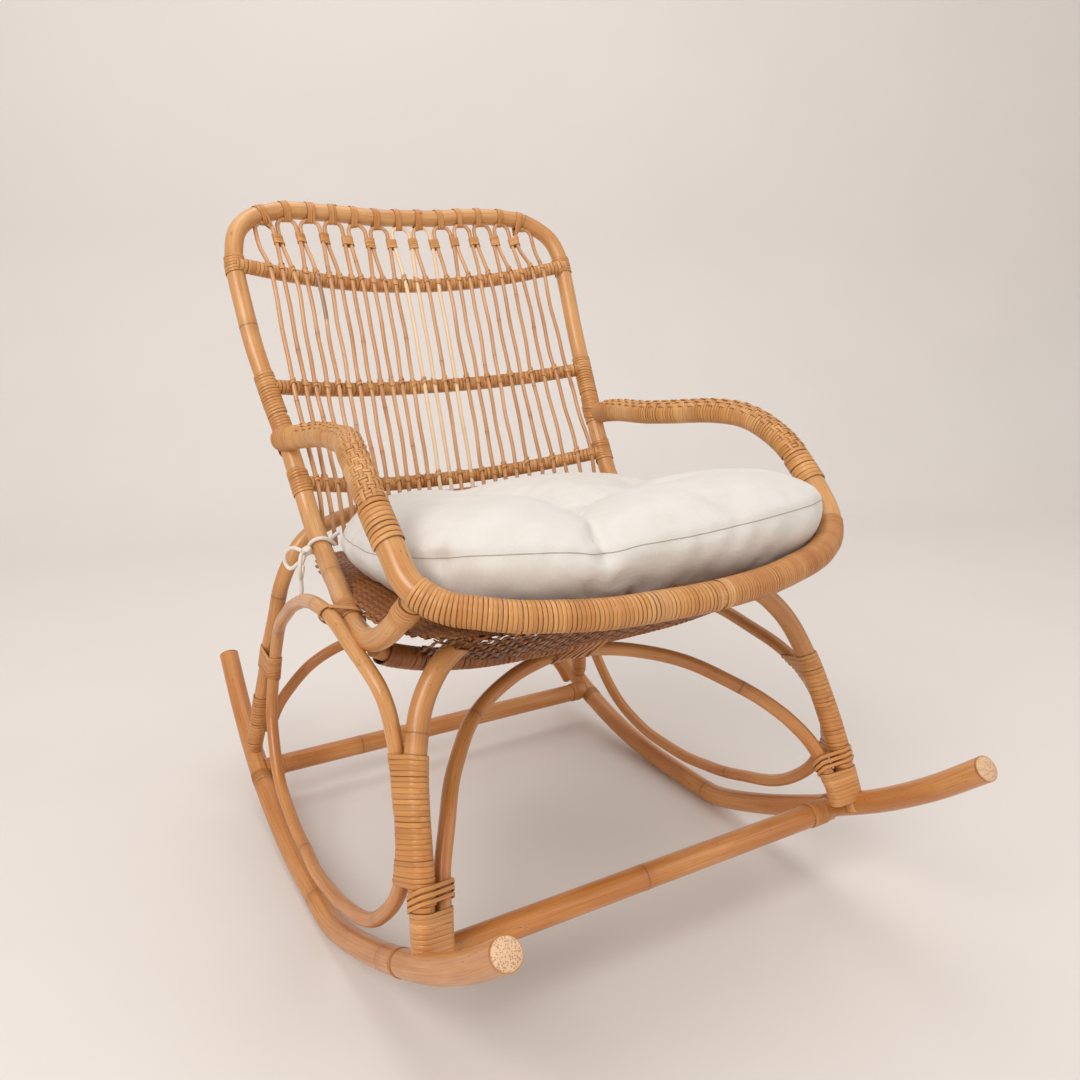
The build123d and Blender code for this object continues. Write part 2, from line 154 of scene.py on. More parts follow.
class Line:
    """A centre line sampled evenly, with a frame that doesn't twist at each sample."""

    def __init__(self, points, step=0.003, wobble=0.0, seed=0, dense=None):
        raw = bent(points) if dense is None else np.array(dense, float)
        run = np.r_[0, np.cumsum(np.linalg.norm(np.diff(raw, axis=0), axis=1))]
        self.length = run[-1]
        self.s = np.linspace(0, run[-1], max(6, int(run[-1] / step) + 1))
        self.p = np.stack([np.interp(self.s, run, raw[:, k]) for k in range(3)], 1)
        if wobble:
            rng = random.Random(seed)
            fade = np.clip(np.minimum(self.s, self.length - self.s) / 0.03, 0, 1)
            for k in range(3):
                for wave in (0.09, 0.17, 0.31):
                    phase = rng.uniform(0, 6.28)
                    self.p[:, k] += fade * wobble * 0.5 * np.sin(self.s / wave * 6.28 + phase)
        self.t = unit(np.gradient(self.p, self.s, axis=0))
        first = np.array([0.0, 0.0, 1.0])
        if abs(self.t[0] @ first) > 0.9:
            first = np.array([0.0, -1.0, 0.0])
        normal = unit(first - self.t[0] * (first @ self.t[0]))
        found = []
        for t in self.t:
            normal = unit(normal - t * (normal @ t))
            found.append(normal)
        self.n = np.array(found)
        self.b = np.cross(self.t, self.n)

    def at(self, s):
        """Point, tangent and the two cross directions at arc lengths s."""
        s = np.atleast_1d(s)
        out = []
        for rows in (self.p, self.t, self.n, self.b):
            out.append(np.stack([np.interp(s, self.s, rows[:, k]) for k in range(3)], 1))
        return out[0], unit(out[1]), unit(out[2]), unit(out[3])

    def find(self, axis, value, low=0.0, high=1.0):
        """Arc length where one coordinate, in mm, comes nearest to a value."""
        keep = (self.s >= low * self.length) & (self.s <= high * self.length)
        where = np.abs(self.p[:, axis] - value * 0.001) + np.where(keep, 0, 9)
        return float(self.s[where.argmin()])

    def angle_of(self, s, direction):
        """The angle in the cross plane at which a world direction lies."""
        _, _, n, b = self.at(s)
        d = np.array(direction, float)
        return np.arctan2(b @ d, n @ d)


# ---- mesh helpers
def new_object(name, data):
    obj = bpy.data.objects.new(name, data)
    bpy.context.collection.objects.link(obj)
    return obj


def add_piece(name, verts, faces, materials, slot, replaces=(), faces_on=None, **values):
    """A mesh object that rides on the chair, with named values on its vertices."""
    mesh = bpy.data.meshes.new(name)
    mesh.from_pydata([tuple(v) for v in verts], [], [tuple(int(i) for i in f) for f in faces])
    for m in materials:
        mesh.materials.append(m)
    if faces_on is not None:
        mesh.polygons.foreach_set("material_index", np.array(faces_on, np.int32))
    mesh.polygons.foreach_set("use_smooth", [True] * len(mesh.polygons))
    for key, data in values.items():
        data = np.asarray(data, np.float32)
        kind = "FLOAT_VECTOR" if data.ndim == 2 else "FLOAT"
        layer = mesh.attributes.new(key, kind, "POINT")
        layer.data.foreach_set("vector" if data.ndim == 2 else "value", data.ravel())
    mesh.update()
    obj = new_object(name, mesh)
    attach(obj, BODY)
    if replaces:
        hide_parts(*replaces)
    return obj


class Parts:
    """Collects verts, faces and values of several strands into one mesh."""

    def __init__(self):
        self.v, self.f, self.values, self.count = [], [], {}, 0

    def add(self, verts, faces, **values):
        self.v.append(np.asarray(verts, float))
        self.f.append(np.asarray(faces, int) + self.count)
        for key, data in values.items():
            self.values.setdefault(key, []).append(np.asarray(data, float))
        self.count += len(verts)

    def build(self, name, replaces=(), material=None, slot="binding_cane"):
        values = {k: np.concatenate(v) for k, v in self.values.items()}
        verts, faces = np.concatenate(self.v), np.concatenate(self.f)
        return add_piece(name, verts, faces, [material or CANE], slot, replaces, **values)


def grid_faces(rows, cols):
    """Quads of a grid of vertices, each row a ring."""
    i, j = np.meshgrid(np.arange(rows - 1), np.arange(cols), indexing="ij")
    k = (j + 1) % cols
    quads = np.stack([i * cols + j, i * cols + k, (i + 1) * cols + k, (i + 1) * cols + j], -1)
    return quads.reshape(-1, 4)


KNOT_WIDTH = 0.0045
END_SHARE, END_CHAMFER, END_CROWN = 0.93, 0.0007, 0.0008


def tube(name, line, radius, material, slot, replaces, sides, seed, joints=(0.24, 0.42), swell=0.02,
         tone=0.0, ends=None):
    """A natural pole: round, with a swelling and a ring at each node of the cane."""
    rng = random.Random(seed)
    s = line.s
    p, t, n, b = line.at(s)
    knots = [-rng.uniform(0.02, 0.12)]
    while knots[-1] < line.length + 0.3:
        knots.append(knots[-1] + rng.uniform(*joints))
    knots = np.array(knots)
    ring = np.interp(s, knots, np.arange(len(knots)))
    near = np.abs(s[:, None] - knots[None]).min(1)
    grow = np.interp(ring, np.arange(len(knots)), [rng.uniform(0.985, 1.01) for _ in knots])
    r = radius * grow * (1 + swell * bump(near, KNOT_WIDTH))
    angle = np.linspace(0, 2 * np.pi, sides, endpoint=False)
    ring_dirs = spokes(n, b, angle)
    verts = p[:, None] + ring_dirs * r[:, None, None]
    shift = rng.uniform(0, 5)
    grain = np.broadcast_arrays(np.cos(angle) * radius, np.sin(angle) * radius, s[:, None] + shift)
    grain = np.stack(grain, -1).reshape(-1, 3)
    rings = np.repeat(ring, sides)
    tones = np.repeat(np.broadcast_to(tone(s) if callable(tone) else tone, len(s)), sides)
    faces = [tuple(f) for f in grid_faces(len(s), sides)]
    on = [0] * len(faces)
    verts = verts.reshape(-1, 3)
    base = len(verts)
    extra, grain_extra = [], []
    for k, (row, sign) in enumerate(((0, -1), (len(s) - 1, 1))):
        inner = p[row] + ring_dirs[row] * (radius * END_SHARE) + t[row] * sign * END_CHAMFER
        start = base + k * (sides + 1)
        extra += list(inner) + [p[row] + t[row] * sign * END_CROWN]
        for j in range(sides):
            a, c = row * sides + j, row * sides + (j + 1) % sides
            d, e, hub = start + j, start + (j + 1) % sides, start + sides
            faces += [(a, c, e, d)[:: -sign], (d, e, hub)[:: -sign]]
            on += [0, 1 if ends else 0]
        grain_extra += [(math.cos(a) * radius, math.sin(a) * radius, s[row] + shift) for a in angle]
        grain_extra += [(0, 0, s[row] + shift)]
    verts = np.concatenate([verts, np.array(extra)])
    grain = np.concatenate([grain, np.array(grain_extra)])
    rings = np.concatenate([rings, np.repeat(rings[0] + 0.4, len(extra))])
    tones = np.concatenate([tones, np.repeat(tones[0], len(extra))])
    materials = [material] + ([ends] if ends else [])
    add_piece(name, verts, faces, materials, slot, replaces, faces_on=on, grain=grain, ring=rings, tone=tones)


def partner_centres(p, t, line):
    """Where another pole crosses the plane square to each point, relative to that point."""
    rel = line.p[None] - p[:, None]
    miss = np.abs((rel * t[:, None]).sum(2)) + 0.15 * np.linalg.norm(rel, axis=2)
    best = miss.argmin(1)
    c = rel[np.arange(len(p)), best]
    return c - t * (c * t).sum(1, keepdims=True)


# Across a flat strand, as shares of its width and thickness: (places across, heights).
WOUND_SECTION = np.array([(-0.5, -0.45, -0.22, 0.22, 0.45, 0.5), (0.3, 0.84, 1.0, 1.0, 0.84, 0.3)])
LOOSE_SECTION = np.array([(-0.5, -0.36, 0.36, 0.5), (-0.5, 0.5, 0.5, -0.5)])


def lay_strand(parts, centres, side, up, section, width, wide, thick, turn, tone, grain):
    """Add a flat strand along its centres, with the values that its material reads."""
    across, high = section
    verts = centres[:, None] + side[:, None] * (across * np.reshape(wide, (-1, 1)))[..., None]
    verts = verts + up[:, None] * (high * thick)[None, :, None]
    count, cols = len(centres), len(across)
    parts.add(
        verts.reshape(-1, 3), grid_faces(count, cols),
        turn=np.repeat(turn, cols),
        across=np.tile(across * 2, count),
        tone=np.repeat(np.broadcast_to(tone, count), cols),
        grain=np.stack([np.tile(across * width, count), *(np.repeat(g, cols) for g in grain)], -1),
    )


def winding(parts, line, s0, s1, radius, size, partners=(), per_turn=20, seed=0, lift=0.0,
            uneven=0.06, tone=0.0, slant=0.0):
    """One flat strand wound tightly round a pole, and round any partners that touch it.

    A partner is a line, its radius, and the arc lengths on this line between which it is tied in.
    """
    width, thick, pitch = WIND[size]
    rng = random.Random(seed)
    turns = max(1.0, abs(s1 - s0) / pitch)
    count = int(turns * per_turn) + 1
    turn = np.linspace(0, turns, count)
    steps = np.cumsum([rng.uniform(1 - uneven, 1 + uneven) for _ in range(int(turns) + 2)])
    steps = np.r_[0, steps] / steps[int(turns)] if int(turns) else np.array([0, 1, 2])
    s = s0 + (s1 - s0) * np.clip(np.interp(turn, np.arange(len(steps)), steps), 0, 1.0)
    phase = rng.uniform(0, 2 * np.pi)
    angle = turn * 2 * np.pi + phase
    p, t, n, b = line.at(s + slant * np.cos(angle))
    d = n * np.cos(angle)[:, None] + b * np.sin(angle)[:, None]
    seats = [np.zeros_like(p)]
    reaches = [np.full(count, radius)]
    for other, other_radius, low, high in partners:
        seats.append(partner_centres(p, t, other))
        reaches.append(np.where((s >= low) & (s <= high), other_radius, -1.0))
    support = np.stack([(c * d).sum(1) + r for c, r in zip(seats, reaches)])
    pick = support.argmax(0)
    seat = np.stack(seats)[pick, np.arange(count)]
    reach = np.stack(reaches)[pick, np.arange(count)]
    base = p + seat + d * (reach + lift)[:, None]
    wide = width * (1 + 0.07 * np.sin(turn * 1.7 + phase))
    side = unit(np.cross(np.gradient(base, axis=0), d))
    flip = np.sign((side * t).sum(1, keepdims=True))
    side = side * np.where(flip == 0, 1, flip)
    offset = rng.uniform(0, 50)
    lay_strand(parts, base, side, d, WOUND_SECTION, width, wide, thick, turn + offset,
               tone(s) if callable(tone) else tone, (turn * 0.08 + offset, s))


def strand(parts, points, width, thick, seed, tone, up=(0, 0, 1)):
    """A flat strand along a list of points, its flat side facing up."""
    line = Line(None, step=0.004, dense=points)
    up = np.array(up, float)
    face = unit(up - line.t * (line.t @ up)[:, None])
    offset = random.Random(seed).uniform(0, 50)
    lay_strand(parts, line.p, np.cross(line.t, face), face, LOOSE_SECTION, width, width, thick,
               line.s * 30 + offset, tone, (line.s + offset, np.full(len(line.s), offset)))


# ---- materials
def new_material(name):
    m = bpy.data.materials.new(name)
    m.use_nodes = True
    tree = m.node_tree
    tree.nodes.clear()
    out = tree.nodes.new("ShaderNodeOutputMaterial")
    shader = tree.nodes.new("ShaderNodeBsdfPrincipled")
    tree.links.new(shader.outputs[0], out.inputs[0])
    return m, tree, shader


def node(tree, kind, values=(), **settings):
    """A node with its settings, and its inputs set to numbers or linked to sockets."""
    made = tree.nodes.new(kind)
    for key, value in settings.items():
        setattr(made, key, value)
    for key, value in dict(values).items():
        socket = made.inputs[key]
        if isinstance(value, bpy.types.NodeSocket):
            tree.links.new(value, socket)
        else:
            socket.default_value = value
    return made


def read(tree, name, vector=False):
    return node(tree, "ShaderNodeAttribute", attribute_name=name).outputs["Vector" if vector else "Fac"]


def stretch(tree, vector, scale):
    return node(tree, "ShaderNodeMapping", {0: vector, "Scale": scale}).outputs[0]


def noise(tree, vector, scale=1.0, detail=3.0, rough=0.55):
    values = {"Vector": vector, "Scale": scale, "Detail": detail, "Roughness": rough}
    return node(tree, "ShaderNodeTexNoise", values).outputs["Fac"]


def ramp(tree, value, low, high, to_low=0.0, to_high=1.0):
    values = {0: value, 1: low, 2: high, 3: to_low, 4: to_high}
    return node(tree, "ShaderNodeMapRange", values, clamp=True).outputs[0]


def maths(tree, operation, a, b=0.0):
    return node(tree, "ShaderNodeMath", {0: a, 1: b}, operation=operation).outputs[0]


def blend(tree, share, a, b):
    """Mix two colours."""
    made = node(tree, "ShaderNodeMix", data_type="RGBA")
    for socket, value in ((made.inputs[0], share), (made.inputs[6], a), (made.inputs[7], b)):
        if isinstance(value, bpy.types.NodeSocket):
            tree.links.new(value, socket)
        elif isinstance(value, tuple):
            socket.default_value = (*value, 1)
        else:
            socket.default_value = value
    return made.outputs[2]


def paint_floor_shade_and_bounce(tree, colour, most):
    """Painted shade and warm floor bounce: rattan is multiplied to a deeper, warmer brown towards the floor.
    """
    place = node(tree, "ShaderNodeTexCoord").outputs["Object"]
    height = node(tree, "ShaderNodeSeparateXYZ", {0: place}).outputs["Z"]
    made = node(tree, "ShaderNodeMix", data_type="RGBA", blend_type="MULTIPLY")
    tree.links.new(ramp(tree, height, 0.20, 0.46, most, 0.0), made.inputs[0])
    tree.links.new(colour, made.inputs[6])
    made.inputs[7].default_value = (0.88, 0.68, 0.46, 1)
    return made.outputs[2]


def paint(tree, colour, *layers):
    """Lay colours over one another, each with its share."""
    for share, over in layers:
        colour = blend(tree, share, colour, over)
    return colour


def finish_surface(tree, shader, colour, roughness, height, distance, strength=1.0):
    tree.links.new(colour, shader.inputs["Base Color"])
    tree.links.new(roughness, shader.inputs["Roughness"])
    values = {"Height": height, "Distance": distance, "Strength": strength}
    bump = node(tree, "ShaderNodeBump", values)
    tree.links.new(bump.outputs[0], shader.inputs["Normal"])


def pole_material(name, pale, mid, deep, ring_colour):
    """Peeled, lacquered rattan: long fine grain, soft blotches, a brown ring at each node."""
    m, t, shader = new_material(name)
    grain = read(t, "grain", True)
    fibres = noise(t, stretch(t, grain, (620, 620, 10)), 1.0, 4.0, 0.65)
    broad = noise(t, stretch(t, grain, (45, 45, 9)), 1.0, 3.0, 0.5)
    spots = noise(t, stretch(t, grain, (420, 420, 140)), 1.0, 2.0, 0.5)
    share = maths(t, "FRACT", maths(t, "ADD", read(t, "ring"), 0.5))
    ring = maths(t, "ABSOLUTE", maths(t, "SUBTRACT", share, 0.5))
    line = ramp(t, ring, 0.001, 0.005, 1.0, 0.0)
    halo = ramp(t, ring, 0.0, 0.05, 1.0, 0.0)
    tone = read(t, "tone")
    colour = paint(
        t, mid,
        (ramp(t, broad, 0.36, 0.64), pale),
        (ramp(t, fibres, 0.42, 0.7, 0.0, 0.55), deep),
        (ramp(t, spots, 0.66, 0.76, 0.0, 0.6), ring_colour),
        (maths(t, "MULTIPLY", halo, 0.3), deep),
        (maths(t, "MULTIPLY", line, 0.5), ring_colour),
        (ramp(t, tone, 0.0, 1.0, 0.0, 0.85), (0.86, 0.68, 0.46)),
        (ramp(t, tone, -1.0, 0.0, 0.9, 0.0), (0.09, 0.055, 0.045)),
    )
    height = maths(t, "SUBTRACT", maths(t, "MULTIPLY", fibres, 0.5), maths(t, "MULTIPLY", line, 0.8))
    # Painted shade and floor bounce: the pole darkens and warms towards the floor.
    colour = paint_floor_shade_and_bounce(t, colour, 0.8)
    finish_surface(t, shader, colour, ramp(t, fibres, 0.3, 0.8, 0.3, 0.46), height, 0.0005, 0.6)
    shader.inputs["Coat Weight"].default_value = 0.25
    shader.inputs["Coat Roughness"].default_value = 0.22
    return m


def strand_material(name, pale, mid, deep):
    """Flat binding cane: each turn has its own tint, with fine fibres along the strand."""
    m, t, shader = new_material(name)
    turn = read(t, "turn")
    each = node(t, "ShaderNodeTexWhiteNoise", {"W": maths(t, "FLOOR", maths(t, "ADD", turn, 0.5))},
                noise_dimensions="1D").outputs[0]
    slow = node(t, "ShaderNodeTexNoise", {"W": maths(t, "MULTIPLY", turn, 0.11), "Scale": 1.0, "Detail": 2.0},
                noise_dimensions="1D").outputs["Fac"]
    grain = read(t, "grain", True)
    fibres = noise(t, stretch(t, grain, (1500, 26, 26)), 1.0, 3.0, 0.6)
    blot = noise(t, stretch(t, grain, (240, 40, 60)), 1.0, 3.0, 0.6)
    # Painted groove shade: the strand darkens towards both edges, where the gaps between neighbouring turns
    # fall in shade.
    edge = ramp(t, maths(t, "ABSOLUTE", read(t, "across")), 0.72, 1.0)
    tone = read(t, "tone")
    colour = paint(
        t, mid,
        (ramp(t, slow, 0.34, 0.66), pale),
        (ramp(t, each, 0.0, 1.0, 0.0, 0.35), deep),
        (ramp(t, blot, 0.5, 0.75, 0.0, 0.5), deep),
        (ramp(t, fibres, 0.4, 0.75, 0.0, 0.3), deep),
        # Painted groove shade at the strand's edges.
        (maths(t, "MULTIPLY", edge, 0.72), (0.13, 0.05, 0.018)),
        (ramp(t, tone, 0.0, 1.0, 0.0, 0.8), (0.36, 0.115, 0.018)),
        (ramp(t, tone, -1.0, 0.0, 0.8, 0.0), (0.86, 0.63, 0.38)),
    )
    # Painted shade and floor bounce: the strand darkens and warms towards the floor.
    colour = paint_floor_shade_and_bounce(t, colour, 0.45)
    finish_surface(t, shader, colour, ramp(t, blot, 0.3, 0.7, 0.32, 0.48), fibres, 0.00035, 0.6)
    shader.inputs["Coat Weight"].default_value = 0.2
    shader.inputs["Coat Roughness"].default_value = 0.25
    return m


def end_material():
    """Sawn end of a rattan pole: pale pith full of small pores."""
    m, t, shader = new_material("sawn_end")
    grain = read(t, "grain", True)
    cells = node(t, "ShaderNodeTexVoronoi", {"Vector": grain, "Scale": 620.0})
    pores = ramp(t, cells.outputs["Distance"], 0.18, 0.36, 1.0, 0.0)
    soft = noise(t, grain, 160.0, 3.0, 0.6)
    colour = blend(t, soft, (0.62, 0.37, 0.2), (0.78, 0.55, 0.36))
    colour = blend(t, maths(t, "MULTIPLY", pores, 0.65), colour, (0.3, 0.13, 0.06))
    finish_surface(t, shader, colour, ramp(t, soft, 0.0, 1.0, 0.6, 0.8), pores, -0.0006)
    return m


def cotton_material(name, pale, shade, weave=900.0):
    """Undyed cotton canvas: a fine plain weave, slubs and a little unevenness."""
    m, t, shader = new_material(name)
    where = node(t, "ShaderNodeTexCoord").outputs["Object"]
    values = {"Vector": where, "Scale": weave / 6.283, "Distortion": 0.6, "Detail": 1.0}
    warp, weft = (node(t, "ShaderNodeTexWave", values, bands_direction=way).outputs["Fac"] for way in "XY")
    slubs = noise(t, stretch(t, where, (900, 60, 300)), 1.0, 2.0, 0.5)
    cloud = noise(t, where, 22.0, 3.0, 0.55)
    colour = blend(t, ramp(t, cloud, 0.3, 0.7), pale, shade)
    colour = blend(t, ramp(t, slubs, 0.6, 0.8, 0.0, 0.35), colour, shade)
    height = maths(t, "ADD", maths(t, "MULTIPLY", maths(t, "ADD", warp, weft), 0.5), slubs)
    finish_surface(t, shader, colour, ramp(t, slubs, 0.0, 1.0, 0.82, 0.95), height, 0.00018, 0.7)
    shader.inputs["Sheen Weight"].default_value = 0.12
    shader.inputs["Sheen Roughness"].default_value = 0.6
    return m


POLE = pole_material("rattan_pole", (0.69, 0.375, 0.145), (0.57, 0.262, 0.08), (0.36, 0.135, 0.034),
                     (0.15, 0.06, 0.022))
THIN = pole_material("thin_cane", (0.68, 0.37, 0.18), (0.55, 0.26, 0.10), (0.36, 0.14, 0.05),
                     (0.16, 0.06, 0.03))
CANE = strand_material("binding_cane", (0.73, 0.375, 0.125), (0.58, 0.25, 0.06), (0.34, 0.125, 0.025))
WOVEN = strand_material("woven_cane", (0.43, 0.165, 0.038), (0.30, 0.10, 0.02), (0.15, 0.045, 0.01))
SAWN = end_material()
COTTON = cotton_material("cushion_cotton", (0.71, 0.685, 0.65), (0.66, 0.63, 0.59))
TAPE = cotton_material("tie_tape", (0.80, 0.75, 0.69), (0.70, 0.64, 0.56), 1400.0)


# ---- camera, floor, light
def make_camera():
    data = bpy.data.cameras.new("camera")
    data.sensor_width = 36.0
    data.lens = 32.53
    data.clip_start = 0.02
    cam = new_object("camera", data)
    cam.location = (-0.5785, -1.0216, 0.7518)
    look = Vector((0.4877, 0.8325, -0.2629))
    cam.rotation_mode = "QUATERNION"
    cam.rotation_quaternion = look.to_track_quat("-Z", "Y")
    bpy.context.scene.camera = cam


def make_stage():
    """A pale floor that curves up into a pale wall behind."""
    rows = [(-6.0, 0.0), (1.6, 0.0)]
    rows += [(1.6 + 0.9 * math.sin(a), 0.9 - 0.9 * math.cos(a)) for a in np.linspace(0.1, math.pi / 2, 14)]
    rows += [(2.5, 5.0)]
    verts = [(x, y, z) for y, z in rows for x in (-8.0, 8.0)]
    faces = [(2 * i, 2 * i + 1, 2 * i + 3, 2 * i + 2) for i in range(len(rows) - 1)]
    mesh = bpy.data.meshes.new("floor")
    mesh.from_pydata(verts, [], faces)
    mesh.polygons.foreach_set("use_smooth", [True] * len(mesh.polygons))
    m, t, shader = new_material("pale_floor")
    where = node(t, "ShaderNodeTexCoord").outputs["Object"]
    soft = noise(t, where, 3.0, 3.0, 0.5)
    colour = blend(t, soft, (0.74, 0.70, 0.67), (0.78, 0.74, 0.71))
    finish_surface(t, shader, colour, ramp(t, soft, 0.0, 1.0, 0.55, 0.65), soft, 0.0002)
    mesh.materials.append(m)
    obj = new_object("floor", mesh)
    obj.rotation_euler = (0, 0, -math.radians(22))


def make_light(name, place, size, power, colour, aim=(0, 0, 0.4)):
    data = bpy.data.lights.new(name, "AREA")
    data.shape = "DISK"
    data.size = size
    data.energy = power
    data.color = colour
    obj = new_object(name, data)
    obj.location = place
    obj.rotation_mode = "QUATERNION"
    obj.rotation_quaternion = (Vector(aim) - Vector(place)).to_track_quat("-Z", "Y")


def make_lights():
    make_light("key", (-2.6, -1.6, 2.9), 2.2, 81, (1.0, 0.97, 0.93))
    make_light("fill", (2.6, -2.4, 2.0), 2.6, 23, (1.0, 0.95, 0.9))
    make_light("low_fill", (-0.9, -2.7, 0.45), 1.4, 7.5, (1.0, 0.82, 0.66), (0, -0.2, 0.42))
    make_light("top", (0.2, 0.6, 3.4), 2.8, 34, (1.0, 0.98, 0.96))
    world = bpy.data.worlds.new("world")
    world.use_nodes = True
    back = world.node_tree.nodes["Background"]
    back.inputs[0].default_value = (0.92, 0.89, 0.87, 1)
    back.inputs[1].default_value = 0.55
    bpy.context.scene.world = world
    bpy.context.scene.view_settings.view_transform = "Standard"


make_camera()
make_stage()
make_lights()


# ---- poles
def make_poles():
    """Every pole as a natural cane tube in place of its CAD node."""
    poles = (
        ("rocker_left", ROCKER_R, ROCKER, 0.0),
        ("rocker_right", ROCKER_R, mirrored(ROCKER), 0.0),
        ("arm_and_front_rim", RIM_R, symmetric(ARM), 0.0005),
        ("back_hoop", HOOP_R, symmetric(HOOP), 0.0007),
        ("front_leg_left", LEG_R, FRONT_LEG, 0.0),
        ("front_leg_right", LEG_R, mirrored(FRONT_LEG), 0.0),
        ("rear_leg_arch", REAR_R, symmetric(REAR_ARCH), 0.0006),
        ("side_loop_left", LOOP_R, LEFT_LOOP + LOW_LOOP, 0.0007),
        ("side_loop_right", LOOP_R, RIGHT_LOOP + mirrored(LOW_LOOP), 0.0007),
        ("front_arch", ARCH_R, symmetric(FRONT_ARCH), 0.0006),
        ("low_rear_arch", LOOP_R, LOW_REAR_ARCH, 0.0006),
        ("front_stretcher", ROCKER_R, FRONT_STRETCHER, 0.0),
        ("rear_stretcher", ROCKER_R, REAR_STRETCHER, 0.0),
        ("seat_bar", BAR_R, symmetric(SEAT_BAR), 0.0),
        ("back_rail_upper", RAIL_R, symmetric(UPPER_RAIL), 0.0),
        ("back_rail_mid", RAIL_R, symmetric(MID_RAIL), 0.0),
        ("back_rail_lower", RAIL_R, symmetric(LOWER_RAIL), 0.0),
    )
    bends = {"arm_and_front_rim": 3, "back_hoop": 4, "rear_leg_arch": 5, "side_loop_left": 6,
             "side_loop_right": 7, "front_arch": 8, "low_rear_arch": 9}
    lines = {}
    for index, (name, radius, points, wobble) in enumerate(poles):
        line = lines[name] = Line(points, wobble=wobble, seed=bends.get(name, 0))
        sawn = SAWN if name.startswith("rocker") else None
        sides = 28 if radius > 0.011 else 20
        tube(name + "_pole", line, radius, POLE, "rattan_pole", [name], sides, index * 7 + 2, ends=sawn)
    return lines


def rail_point(rail, x):
    """Where a rail's centre line is at this x, all in mm."""
    points = symmetric(rail)
    for a, b in zip(points, points[1:]):
        if a[0] <= x <= b[0]:
            t = (x - a[0]) / (b[0] - a[0])
            return tuple(a[i] + t * (b[i] - a[i]) for i in range(3))
    raise ValueError(x)


def in_front(point, gap):
    """A point this far in front of the back, square to its lean."""
    lean = math.radians(24.0)
    return (point[0], point[1] - gap * math.cos(lean), point[2] + gap * math.sin(lean))


def cane_place(index):
    """How far in mm a back cane's middle is from the chair's middle."""
    return (index - (HAIRPINS - 1) / 2) * HAIRPIN_PITCH


def hairpin_points(index):
    """One back cane: up from the seat, round an arch right under the top rail and down again."""
    centre = cane_place(index)
    gap = (RAIL_R + CANE_R) * 1000 + 0.3
    side = []
    for sign in (-1, 1):
        x = centre + sign * HAIRPIN_PITCH / 4
        x_tie = centre + sign * (HAIRPIN_PITCH / 2 - CANE_R * 1000 - 0.3)
        low, mid, high = (in_front(rail_point(rail, x), gap) for rail in (LOWER_RAIL, MID_RAIL, UPPER_RAIL))
        top = rail_point(TOP_RAIL, centre)
        foot = (x, low[1] - 22.0, low[2] - 78.0)
        reach = (HOOP_R + CANE_R) * 1000 + 0.3
        tie = (x_tie, top[1] - 23.0, top[2] - 41.0)
        crown = (centre + sign * 12.5, top[1] - 0.55 * reach, top[2] - 0.835 * reach)
        side.append([foot, low, mid, high, tie, crown])
    return side[0] + side[1][::-1]


def make_canes():
    """The hairpin canes of the back. A few are paler, and one has a dark stretch."""
    rng = random.Random(11)
    canes = []
    for index in range(HAIRPINS):
        line = Line(hairpin_points(index), wobble=0.0009, seed=40 + index)
        base = rng.uniform(-0.12, 0.16)
        pale = {6: (0.95, 0.8), 7: (0.1, 0.85)}.get(index, (base, base))
        half = line.length / 2

        def tone(s, pale=pale, half=half, index=index):
            found = np.where(s < half, pale[0], pale[1])
            if index == 2:
                found = np.where(np.abs(s - half * 0.72) < 0.03, -0.55, found)
            return found

        name = "back_cane_%02d" % (index + 1)
        tube(name + "_strand", line, CANE_R, THIN, "thin_cane", [name], 10, 60 + index,
             joints=(0.14, 0.32), swell=0.10, tone=tone)
        canes.append(line)
    return canes


# ---- binding cane
# Width, thickness and pitch of each kind of winding, in metres.
WIND = {
    "rail": (0.0056, 0.0012, 0.00557), "rail_loop": (0.0042, 0.0014, 0.0041),
    "collar": (0.0041, 0.0011, 0.0036), "crown": (0.003, 0.001, 0.0031), "pair": (0.0036, 0.0011, 0.0036),
    "post": (0.0043, 0.0014, 0.0043), "arm_joint": (0.0046, 0.0014, 0.006),
    "side_rail": (0.0046, 0.0013, 0.0046), "side_strap": (0.0046, 0.0013, 0.005),
    "far_side_rail": (0.0046, 0.0015, 0.0048), "hoop_end": (0.0048, 0.0015, 0.005),
    "arm": (0.0041, 0.0012, 0.0040), "arm_coarse": (0.0056, 0.0020, 0.0058),
    "rim": (0.0044, 0.0014, 0.0044), "rim_fine": (0.0036, 0.0013, 0.0036),
    "leg": (0.0056, 0.0017, 0.0052), "leg_foot": (0.0054, 0.0017, 0.0050),
    "leg_tie": (0.0046, 0.0018, 0.0064),
    "rear_leg": (0.0046, 0.0015, 0.0046), "rear_tie": (0.0046, 0.0016, 0.0048),
    "front_ring": (0.0014, 0.0006, 0.0017), "rear_ring": (0.0014, 0.0006, 0.0022),
    "stretcher": (0.0029, 0.0011, 0.0029), "seat_bar": (0.0064, 0.0026, 0.0060),
    "lashing": (0.0046, 0.0016, 0.0115), "lashing_foot": (0.0046, 0.0016, 0.005),
}
ALL_ALONG = (0, 9)


